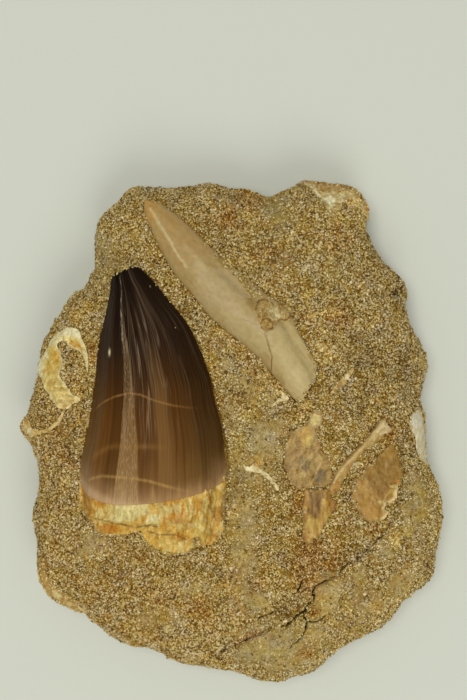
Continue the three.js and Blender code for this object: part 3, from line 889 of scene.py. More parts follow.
def colourCrown(body, fine):
    p = coords(body)
    u, v, share, level = crownPlaces(body)
    upper = u < crown["upper"]
    wander = level + 0.05 * rough(np.stack([share * 26, v * 2.4, v * 0], 1), 1, 3, seed=2)
    wander = np.clip(wander, 0, 1)
    left, middle, right, strip = (fade(wander, side) for side in ("left", "middle", "right", "strip"))
    edges = facetEdges(level)
    toMiddle = smooth(share, edges[1] - 0.015, edges[1] + 0.03)[:, None]
    # the right side darkens with painted shade
    toShadedRight = (0.35 * smooth(share, edges[5], edges[6]) + 0.65 * smooth(share, 0.66, 0.9))[:, None]
    tone = left + (middle - left) * toMiddle
    tone = tone + (right - tone) * toShadedRight
    # painted shade on the dark runs beside the strip, and a painted reflection on the paler facet past it
    dark = window(share, edges[2] - 0.03, edges[2] + 0.01, edges[3] - 0.006, edges[3] + 0.006)
    pastStrip = window(share, edges[4], edges[4] + 0.01, edges[5] - 0.02, edges[5] + 0.02)
    dark = dark + crownPaint["shadePastStrip"] * pastStrip
    tone = tone * (1 - crownPaint["dark"] * dark * (0.5 + 0.5 * smooth(level, 0.02, 0.2)))[:, None]
    # a painted reflection on the paler facet past the strip, fading up the crown
    pale = window(share, edges[5] - 0.01, edges[5] + 0.02, edges[6] - 0.03, edges[6] + 0.03)
    code, strength = crownPaint["paintedFacetReflection"]
    tone = toward(tone, code, strength * pale * (1 - smooth(level, 0.32, 0.7)))
    # the painted highlight on the strip facet
    onStrip = window(share, edges[3] - 0.004, edges[3] + 0.006, edges[4] - 0.006, edges[4] + 0.004) * upper
    tone = tone + (strip - tone) * onStrip[:, None]
    # dark striations, and where the gilded ones may show
    tone = tone * (1 + (0.14 + 0.22 * smooth(level, 0.2, 0.55)) * fine)[:, None]
    gilt = smooth(share, 0.26, 0.32) * (1 - 0.75 * smooth(share, 0.5, 0.75)) * upper
    setPaint(body, "gilt", gilt * window(level, 0.12, 0.35, 0.70, 0.95))
    # a pale haze over the middle, and a glint on the strip's edge
    lines = np.stack([share * 34 + 3 * v, v * 1.1, np.zeros(len(u))], 1)
    haze = smooth(fractal(lines * [0.5, 1.6, 1] + 5, 3), -0.1, 0.5) * window(share, 0.34, 0.44, 0.6, 0.8)
    code, strength = crownPaint["haze"]
    tone = toward(tone, code, strength * haze * smooth(level, 0.3, 0.5))
    ridge = smooth(1 - np.abs(share - edges[3] - 0.006) / 0.016, 0, 0.8)
    ridge = ridge * window(level, 0.5, 0.68, 0.93, 0.99)
    glow = smooth(fractal(lines * [1.5, 22, 1], 3), -0.25, 0.35)
    code, strength = crownPaint["glint"]
    tone = toward(tone, code, strength * ridge * glow * upper)
    for code, strength, half, line in crownPaint["bands"]:
        away, along = fromLine(p, line)[:2]
        uneven = 0.75 + 0.5 * fine + 0.3 * rough(p, 2.2, 2, seed=27)
        share = hump(away, strength, 0, half) * window(along, 0, 0.12, 0.72, 1) * uneven
        tone = toward(tone, code, share)
    away = fromLine(p, crown["base"])[0] + 0.25 * rough(p, 1.8, 2, seed=19)
    for code, strength, full, gone in crownPaint["margin"]:
        tone = toward(tone, code, strength * (1 - smooth(away, full, gone)))
    tone = tone * (crownPaint["warmth"] + crownPaint["tipWarmth"] * smooth(level, 0.5, 0.8)[:, None])
    code, strength = crownPaint["fleck"]
    for x, y, reach, stretch in crownPaint["flecks"]:
        tone = toward(tone, code, strength * spot(p, x, y, reach, stretch))
    setTone(body, tone)
    # the strip's mask carries the painted highlight's sparkle into the material
    setPaint(body, "strip", onStrip)


crownEnamel = {
    "roughness": 0.36, "specular": 0.07, "sheen": "e6c6a0",
    # stretches are counts round and along the tooth
    "streaks": (90, 2.5, 1), "streakColours": [(0.30, "8f8370"), (0.52, "f4f2ee"), (0.72, "ffffff")],
    "dashes": (330, 46, 1),
    # painted sparkle on the strip's painted highlight, as pale and dark dashes: noise from and to, strength,
    # colour
    "paintedSparkle": [(0.52, 0.66, 0.26, "c9b48e"), (0.48, 0.36, 0.24, "54391c")],
    # gilded hairlines that run up the tooth: stretch, turn, strength
    "hairs": [((24, 0.8, 1), 0.0, 0.40), ((38, 1.6, 1), 0.3, 0.22)],
    "hairWidth": (0.018, 0.004), "hairColour": "9a8468",
}


# Noise on the crown's own map, finer along the first of its ways than the second.
def streaks(mat, stretch, detail, rough, turn=0.0):
    return cloud(mat, place(mat, stretch, (0, 0, turn), uv=True), 1.0, detail, rough, unit=1)


def crownMaterial(name, look):
    mat, shader = newMaterial(name, look["roughness"], look["specular"])
    shader.inputs["Specular Tint"].default_value = paint(look["sheen"])
    streaky = streaks(mat, look["streaks"], 4, 0.55)
    dashes = streaks(mat, look["dashes"], 2, 0.6)
    streakShade = ramp(mat, streaky, look["streakColours"])
    colour = mix(mat, 0.35, painted(mat, "tone", "Color"), streakShade, "MULTIPLY")
    # painted sparkle dashes on the strip's highlight
    for low, high, strength, code in look["paintedSparkle"]:
        share = maths(mat, "MULTIPLY", between(mat, dashes, low, high), painted(mat, "strip"), clamp=True)
        colour = mix(mat, maths(mat, "MULTIPLY", share, strength), colour, code)
    for stretch, turn, strength in look["hairs"]:
        hair = maths(mat, "ABSOLUTE", maths(mat, "SUBTRACT", streaks(mat, stretch, 2, 0.5, turn), 0.5))
        thread = between(mat, hair, *look["hairWidth"])
        thread = maths(mat, "MULTIPLY", thread, painted(mat, "gilt"), clamp=True)
        colour = mix(mat, maths(mat, "MULTIPLY", thread, strength), colour, look["hairColour"])
    plug(mat, colour, shader.inputs["Base Color"])
    matt = look["roughness"]
    plug(mat, between(mat, streaky, 0.3, 0.7, matt - 0.06, matt + 0.12), shader.inputs["Roughness"])
    grit = bump(mat, cloud(mat, place(mat), 0.25, 2), 0.012)
    plug(mat, bump(mat, streaky, 0.05, grit), shader.inputs["Normal"])
    return mat


tooth = wrapGrid("mosasaurCrown", crown["around"], crown["along"], crownShape)
colourCrown(tooth, shapeCrown(tooth))
finishPiece(tooth, crownMaterial("crownEnamel", crownEnamel), ["mosasaur_crown"])
crownRun = smoothLine(crown["left"][::-1] + crown["base"] + crown["right"], closed=True, per=3)
beds.append(("mosasaurCrown", crownRun, crown["creep"]))


# Height of made pieces' upper sides, by dropping onto them; minus infinity beside them.
def overFace(names):
    scene = bpy.context.evaluated_depsgraph_get()
    trees = [BVHTree.FromObject(bpy.data.objects[name], scene) for name in names]

    def height(p):
        found = np.full(len(p), -np.inf)
        above, down = 60 * mm, Vector((0, 0, -1))
        for i, (x, y) in enumerate((p[:, :2] * mm).tolist()):
            for tree in trees:
                hit = tree.ray_cast(Vector((x, y, above)), down)[0]
                if hit is not None:
                    found[i] = max(found[i], hit.z / mm)
        return found
    return height


rootForm = {
    "halfWidth": 13.4,
    "step": 0.4,  # how far its crest lies below the crown's surface
    "rightDrop": 0.7,
    "breakFrom": 1.5, "breakTo": 9.5, "breakShare": 0.40,  # how it wears away below the crown
}


# The root stands up like the crown and is broken away below.
def rootUnder(p):
    start, end = crown["left"][0][0], crown["right"][0][0]
    share = (p[:, 0] - start) / (end - start)
    corners = np.array([row[0] for row in crown["edges"]])
    arch = np.interp(share, corners, oval(corners))
    crest = crown["axisZ"][0] + crown["rise"] * rootForm["halfWidth"] * arch
    crest -= rootForm["step"] + rootForm["rightDrop"] * smooth(p[:, 0], -6, -1)
    below = np.where(p[:, 1] < -9, fromLine(p, crown["base"])[0], 0)
    worn = rootForm["breakShare"] * smooth(below, rootForm["breakFrom"], rootForm["breakTo"])
    ground = faceZ(p)
    return ground + np.maximum(crest - ground, 0.4) * (1 - worn) - rootLook["proud"]


rootLook = {
    "outline": [
        (-26.6, -7.6), (-27.2, -8.9), (-27.3, -11.2), (-27.2, -13.3), (-25.6, -14.3), (-24.2, -15.5),
        (-23.9, -16.8), (-22.4, -17.6), (-20.4, -17.5), (-18.4, -17.5), (-17, -16.9), (-15.9, -17.2),
        (-14.8, -18.8), (-12.9, -20), (-10.9, -20.7), (-8.4, -20.9), (-6.9, -20.2), (-6.2, -19.6),
        (-4.6, -19.8), (-2.9, -19.2), (-1.5, -17.4), (-0.9, -14.5), (-0.8, -11.4), (-0.6, -8), (-3, -7.6),
        (-9.8, -9.6), (-16, -10), (-22, -9.2),
    ],
    "thickness": 9, "proud": 1.0, "voxel": 0.17, "softening": 1, "under": rootUnder, "jag": 0.24,
    "creep": 0.35, "covered": overFace(["mosasaurCrown"]),
    "grain": [(2.6, 0.34), (0.9, 0.26, 2.2, 0.1), (0.45, 0.10, 2.4, 0.1)],
    "ridges": [(0.5, 0.5, [(-26, -14), (-22, -14.6), (-17, -15.2), (-13.8, -15)])],
    "hollows": [(1.2, -14.6, -16.2, 1.6, 0.5), (0.9, -4.4, -20.2, 1.3), (0.8, -20, -15.3, 3.6, 0.12)],
    "tones": ["f2c060", "e2a040", "f8d48a", "fce6b6"], "mottle": (1.3, 2.4, 0.1),
    "warmth": (0.735, 0.73, 0.45),
    "blots": [
        ("a88c58", 0.9, -1.2, -13.4, 0.9, 4.2, 0.0), ("fff0cc", 0.9, -17.6, -13.0, 3.6, 0.35, 0.05),
        ("e09a30", 0.8, -23.6, -11.4, 1.8, 0.8), ("fbeac0", 0.95, -18.6, -13.9, 2.6, 0.5, 0.1),
        ("fdf0d0", 0.95, -13.4, -14.3, 1.3, 0.7), ("f8dca4", 0.7, -21.3, -13.2, 1.6, 0.5),
        ("dc9024", 0.85, -21.2, -16.3, 2.0, 0.5, 0.05), ("e09c2c", 0.6, -17.4, -16.3, 1.2, 0.6),
        ("e09a30", 0.7, -24.9, -12.6, 1.5, 1.2), ("d88c22", 0.6, -9.2, -14.2, 1.8, 0.9),
        ("dc9428", 0.6, -25.8, -10.2, 1.0, 1.2), ("f4d690", 0.8, -4.2, -13, 0.8, 2.6, 0.2),
        ("c87c30", 0.5, -2.6, -14.6, 0.8, 2.4, 0.15), ("d88e2a", 0.6, -5.4, -12.4, 0.6, 2.4, 0.1),
        ("eccc82", 0.8, -5.6, -16.8, 1.3, 1.2), ("f4d084", 0.8, -11.4, -18.4, 1.7, 0.6, -0.3),
        ("dc9834", 0.7, -9.6, -17.6, 1.2, 0.6, 0.3), ("b09662", 0.7, -6.2, -18.7, 1.0, 0.8),
        ("e0a03e", 0.6, -3, -18.2, 0.9, 0.8), ("fae4b4", 0.6, -10, -12.9, 2.0, 0.4),
    ],
    "lines": [
        ("6a4a20", 0.75, 0.11, [(-24.6, -14.4), (-22.6, -14.8), (-20.4, -15.3), (-18.2, -15.5)]),
        ("5c401a", 0.85, 0.13, [(-18.8, -15.5), (-16.6, -15.9), (-14.2, -15.6), (-12.8, -15.9)]),
        ("8a5c22", 0.6, 0.25, [(-25.6, -14.2), (-24.2, -15.6), (-24, -17)]),
        ("6d4a1e", 0.7, 0.12, [(-14.6, -16.6), (-12.6, -17.2), (-9.6, -17.4), (-8, -18.4)]),
        # a painted shadow down the right edge
        ("5c4016", 0.8, 0.22, [(-0.9, -8), (-1.0, -12), (-1.1, -16)]),
        ("b5761f", 0.7, 0.16, [(-3.4, -9.4), (-3.8, -12), (-4.4, -15)]),
        ("fbf3d0", 0.7, 0.16, [(-4.6, -10), (-5, -13), (-5.6, -15.6)]),
        ("b5761f", 0.6, 0.18, [(-6.4, -11.6), (-6.8, -14), (-7.4, -16.4)]),
        ("f6ecc4", 0.6, 0.2, [(-8, -15.4), (-5.6, -16.2), (-3.4, -17.6)]),
        ("c07c20", 0.7, 0.2, [(-26.2, -9.4), (-26, -11.6), (-25.2, -13.4)]),
        ("f4e8bc", 0.7, 0.2, [(-24.6, -10.6), (-23.8, -12.6), (-22.6, -13.8)]),
    ],
    "rim": ("a57c36", 0.4, 0.4), "speckle": 0.34,
}
rootBone = fossilMaterial("rootBone", roughness=0.62, specular=0.3, pores=0.34, poreSize=0.35, depth=0.10,
                          fibre=(2.4, 0.8, 1.4))
makeFossil("toothRoot", rootLook, rootBone, "mosasaur_root")

longTooth = {
    "left": [(-15.5, 41.6), (-13.1, 40.8), (-9.9, 38.7), (-7.8, 36.9), (-5.3, 34.5), (-3.2, 32.4),
             (-1.1, 30.6), (0.9, 28.8), (3.5, 26.7), (6.0, 24.6), (8.5, 22.8), (10.6, 20.6), (11.9, 17.6),
             (13.4, 15), (14.9, 12.2), (15.1, 10.2)],
    "right": [(-15.9, 41.2), (-15.5, 38.5), (-14.2, 35.5), (-12.8, 32.3), (-11, 29.1), (-9.2, 26.7),
              (-6.4, 23.5), (-3.9, 20.3), (-1.4, 18.3), (1.4, 16), (3.6, 14.1), (5.8, 11.8), (8.2, 8.9),
              (9.9, 6.9), (11.9, 5.1)],
    "axisZ": (16.8, 20.3),
    "rise": 0.62, "drop": 0.5,
    # a blunt ridge runs down the tooth nearer the right edge, and the far flank is flattened
    "ridge": 0.42, "ridgeSharpness": 0.20, "ridgeCrest": (0.09, 0.14), "flankDrop": 0.32,
    "ends": 0.03,  # share of the rows that close each end
    "break": [(14, 22.4), (10.7, 20.6), (8.2, 19.7), (7.2, 18.3), (5.6, 17.8), (6.2, 15.8), (6.9, 13.4),
              (6.9, 10.6), (6.6, 2), (20, 2), (20, 22.4)],
    "onBreak": 8,  # how many of those points lie on the break, and the rest stand clear of the tooth
    "seam": -0.06,  # the upper part runs on past the break by this, so that no light shows there
    # a fine crack across the lower part: depth, half width, points
    "crack": (0.12, 0.35, [(9.2, 18.9), (11.4, 15.9), (14, 12)]),
    "around": 220, "along": 240, "voxel": 0.2, "creep": 0.10,
    "tones": ["b0966a", "b8a27c"], "mottleShare": 0.6, "mottle": (2.6, 1.6, 0.7), "speckle": 0.09,
    "warmth": (0.95, 0.95, 0.76),
    "blots": [
        ("b4925c", 0.6, -12.2, 37.4, 4.6, 1, 0), ("b88c4a", 0.7, -15.2, 39.6, 2.0, 2, -0.3),
        ("ae8c5c", 0.6, -8.5, 33.8, 4.2, 1.4, 0.7), ("bca684", 0.6, -2, 25, 4.6, 1.3, 0.7),
        ("b0976c", 0.5, 1.8, 20.6, 3, 1, 0), ("bca882", 0.6, 3.2, 17.2, 3, 1.8, 0.75),
        ("c0ac82", 0.8, 10.4, 13.4, 4, 1.5, 0.7), ("c4b088", 0.7, 11.5, 8.6, 2.6, 1.2, 0.7),
        ("a27a3c", 0.8, 14.0, 13.4, 0.5, 2.2, 0.6), ("a08044", 0.5, 8.4, 9.3, 0.6, 2.4, 0.6),
        ("a3864e", 0.8, 2.6, 26.4, 1.1, 2.6, 0.75), ("9f8148", 0.8, -1.4, 30.2, 0.9, 2.4, 0.75),
        ("9f8048", 0.6, 3.2, 22.6, 0.7, 1.8, 0.5),
    ],
    "lines": [
        # a painted highlight along the ridge towards the tip
        ("e6dcbc", 0.45, 0.2, [(-14.6, 39.8), (-13.2, 37.6), (-11.5, 34.8), (-9.6, 31.4), (-8, 29.2)]),
        ("d4c6a0", 0.22, 0.45, [(-8.4, 33), (-6.2, 30.6), (-4.2, 28.4)]),
        ("8a6a38", 0.6, 0.12, [(6.0, 18.2), (6.3, 15.8), (7, 13.4), (6.9, 11), (6.6, 9.5)]),
        ("a08656", 0.35, 0.2, [(1.6, 27), (3.4, 24.2), (4.6, 22.4)]),
        ("d0c294", 0.4, 0.22, [(9.6, 19.4), (12, 16.4), (14.9, 12)]),
        ("937a4a", 0.5, 0.12, [(1.6, 20.1), (2.8, 19.7), (4.3, 19)]),
        ("a08350", 0.4, 0.14, [(-13.4, 33.2), (-10.4, 28.6), (-6.6, 24)]),
    ],
    "rim": ("a07a42", 0.5, 0.35),
}
longTooth["outline"] = longTooth["left"] + longTooth["right"][::-1]


def longShape(u, v):
    left, right = edgeLine(longTooth["left"]), edgeLine(longTooth["right"])
    reach, level = openRows(v, longTooth["ends"])
    turn = (u * 2 - 1) * math.pi
    a, b = left(level), right(level)
    width = np.linalg.norm(a - b, axis=1) / 2
    share = np.cos(turn)  # 1 at the left edge, -1 at the right one
    high = np.sin(turn)
    fromRidge = share + longTooth["ridge"]
    crest, crestHalf = longTooth["ridgeCrest"]
    ridge = 1.04 - longTooth["ridgeSharpness"] * np.sqrt(fromRidge ** 2 + 0.004 + 0.08 * level)
    ridge = ridge + hump(fromRidge, crest, 0, crestHalf) * (1 - smooth(level, 0.1, 0.42))
    flank = 1 - longTooth["flankDrop"] * smooth(share, 0.25, 0.6) * smooth(level, 0.25, 0.5)
    height = np.where(high > 0, high * ridge * flank * longTooth["rise"], high * longTooth["drop"])
    middle = (a + b) / 2 + (a - b) / 2 * (share * reach)[:, None]
    low, top = longTooth["axisZ"]
    z = low + (top - low) * smooth(level, 0, 0.8) + height * reach * width
    return np.stack([middle[:, 0], middle[:, 1], z], 1)


# A tall block of the lower side of the break, with which the tooth is cut in two.
def breakBlock(grow):
    run = np.array(longTooth["break"], float)
    run[:longTooth["onBreak"], 0] -= grow
    return slab(run, height=50)


def cutBy(body, tool, operation):
    cut = body.modifiers.new("cut", "BOOLEAN")
    cut.operation = operation
    cut.solver = "EXACT"
    cut.object = tool
    applyModifiers(body)
    bpy.data.objects.remove(tool)


enamelTan = fossilMaterial("tanEnamel", roughness=0.42, specular=0.22, pores=0.12, poreSize=0.5, depth=0.02,
                           subsurface=0.15)
crackDepth, crackHalf, crackLine = longTooth["crack"]
for name, node, operation, grow in (("longToothTip", "long_tooth_tip", "DIFFERENCE", longTooth["seam"]),
                                    ("longToothBase", "long_tooth_base", "INTERSECT", 0)):
    part = wrapGrid(name, longTooth["around"], longTooth["along"], longShape)
    cutBy(part, breakBlock(grow), operation)
    recut(part, longTooth["voxel"], 2)
    p, n = coords(part), normals(part)
    out = 0.03 * rough(p, 2.4, 3, seed=4) + 0.015 * rough(p, 0.6, 2, seed=6)
    out -= hump(fromLine(p, crackLine)[0], crackDepth, 0, crackHalf) * (n[:, 2] > 0.2)
    moveTo(part, p + n * out[:, None])
    colourFossil(part, longTooth)
    finishPiece(part, enamelTan, [node])
beds.append(("longTooth", smoothLine(longTooth["outline"], closed=True, per=3), longTooth["creep"]))


patchBed = overFace(["longToothTip", "longToothBase"])
patchLook = {
    "outline": [(4.2, 23), (5.2, 23.8), (6.4, 23.3), (7.6, 22.5), (8.7, 23.1), (10, 22.8), (10.8, 21.5),
                (10.6, 20.2), (9.3, 19.6), (7.9, 19.7), (7.3, 18.5), (6.4, 17.9), (5.3, 18.1), (4.8, 19.3),
                (4.4, 20.6), (4.0, 22)],
    "thickness": 3.0, "proud": 0.08, "bulge": 0.28, "bulgeWidth": 0.7, "jag": 0.2, "least": 0.05,
    "creep": 0.9, "under": lambda p: np.maximum(patchBed(p), faceZ(p)), "softening": 3,
    "grain": [(1.5, 0.16), (0.5, 0.14)],
    "tones": ["bc9f68", "a4844c", "c8b280"], "mottle": (0.8, 1, 0), "speckle": 0.4,
    "blots": [("d6c8a2", 0.95, 7.5, 21.2, 1.1, 1.3, 0.3), ("c2a878", 0.8, 9.4, 21.4, 1.1)],
    "lines": [
        ("7a5020", 0.9, 0.15, [(8.6, 20), (9.6, 19.9), (10.4, 20.6), (10.7, 21.6), (10, 22.6), (8.8, 22.9)]),
        ("7c5626", 0.9, 0.14, [(5, 18.6), (5.9, 18.1), (7, 18.5), (7.2, 19.4), (6.4, 20.1), (5.4, 19.9),
                               (5, 19.2)]),
        ("6a4c24", 0.7, 0.15, [(4.6, 20.4), (4.2, 21.8), (4.6, 23.2), (5.6, 23.5)]),
    ],
}
crust = fossilMaterial("crustedSand", roughness=0.85, specular=0.25, pores=0.8, poreSize=0.3, depth=0.15)
makeFossil("matrixPatch", patchLook, crust, "matrix_patch")

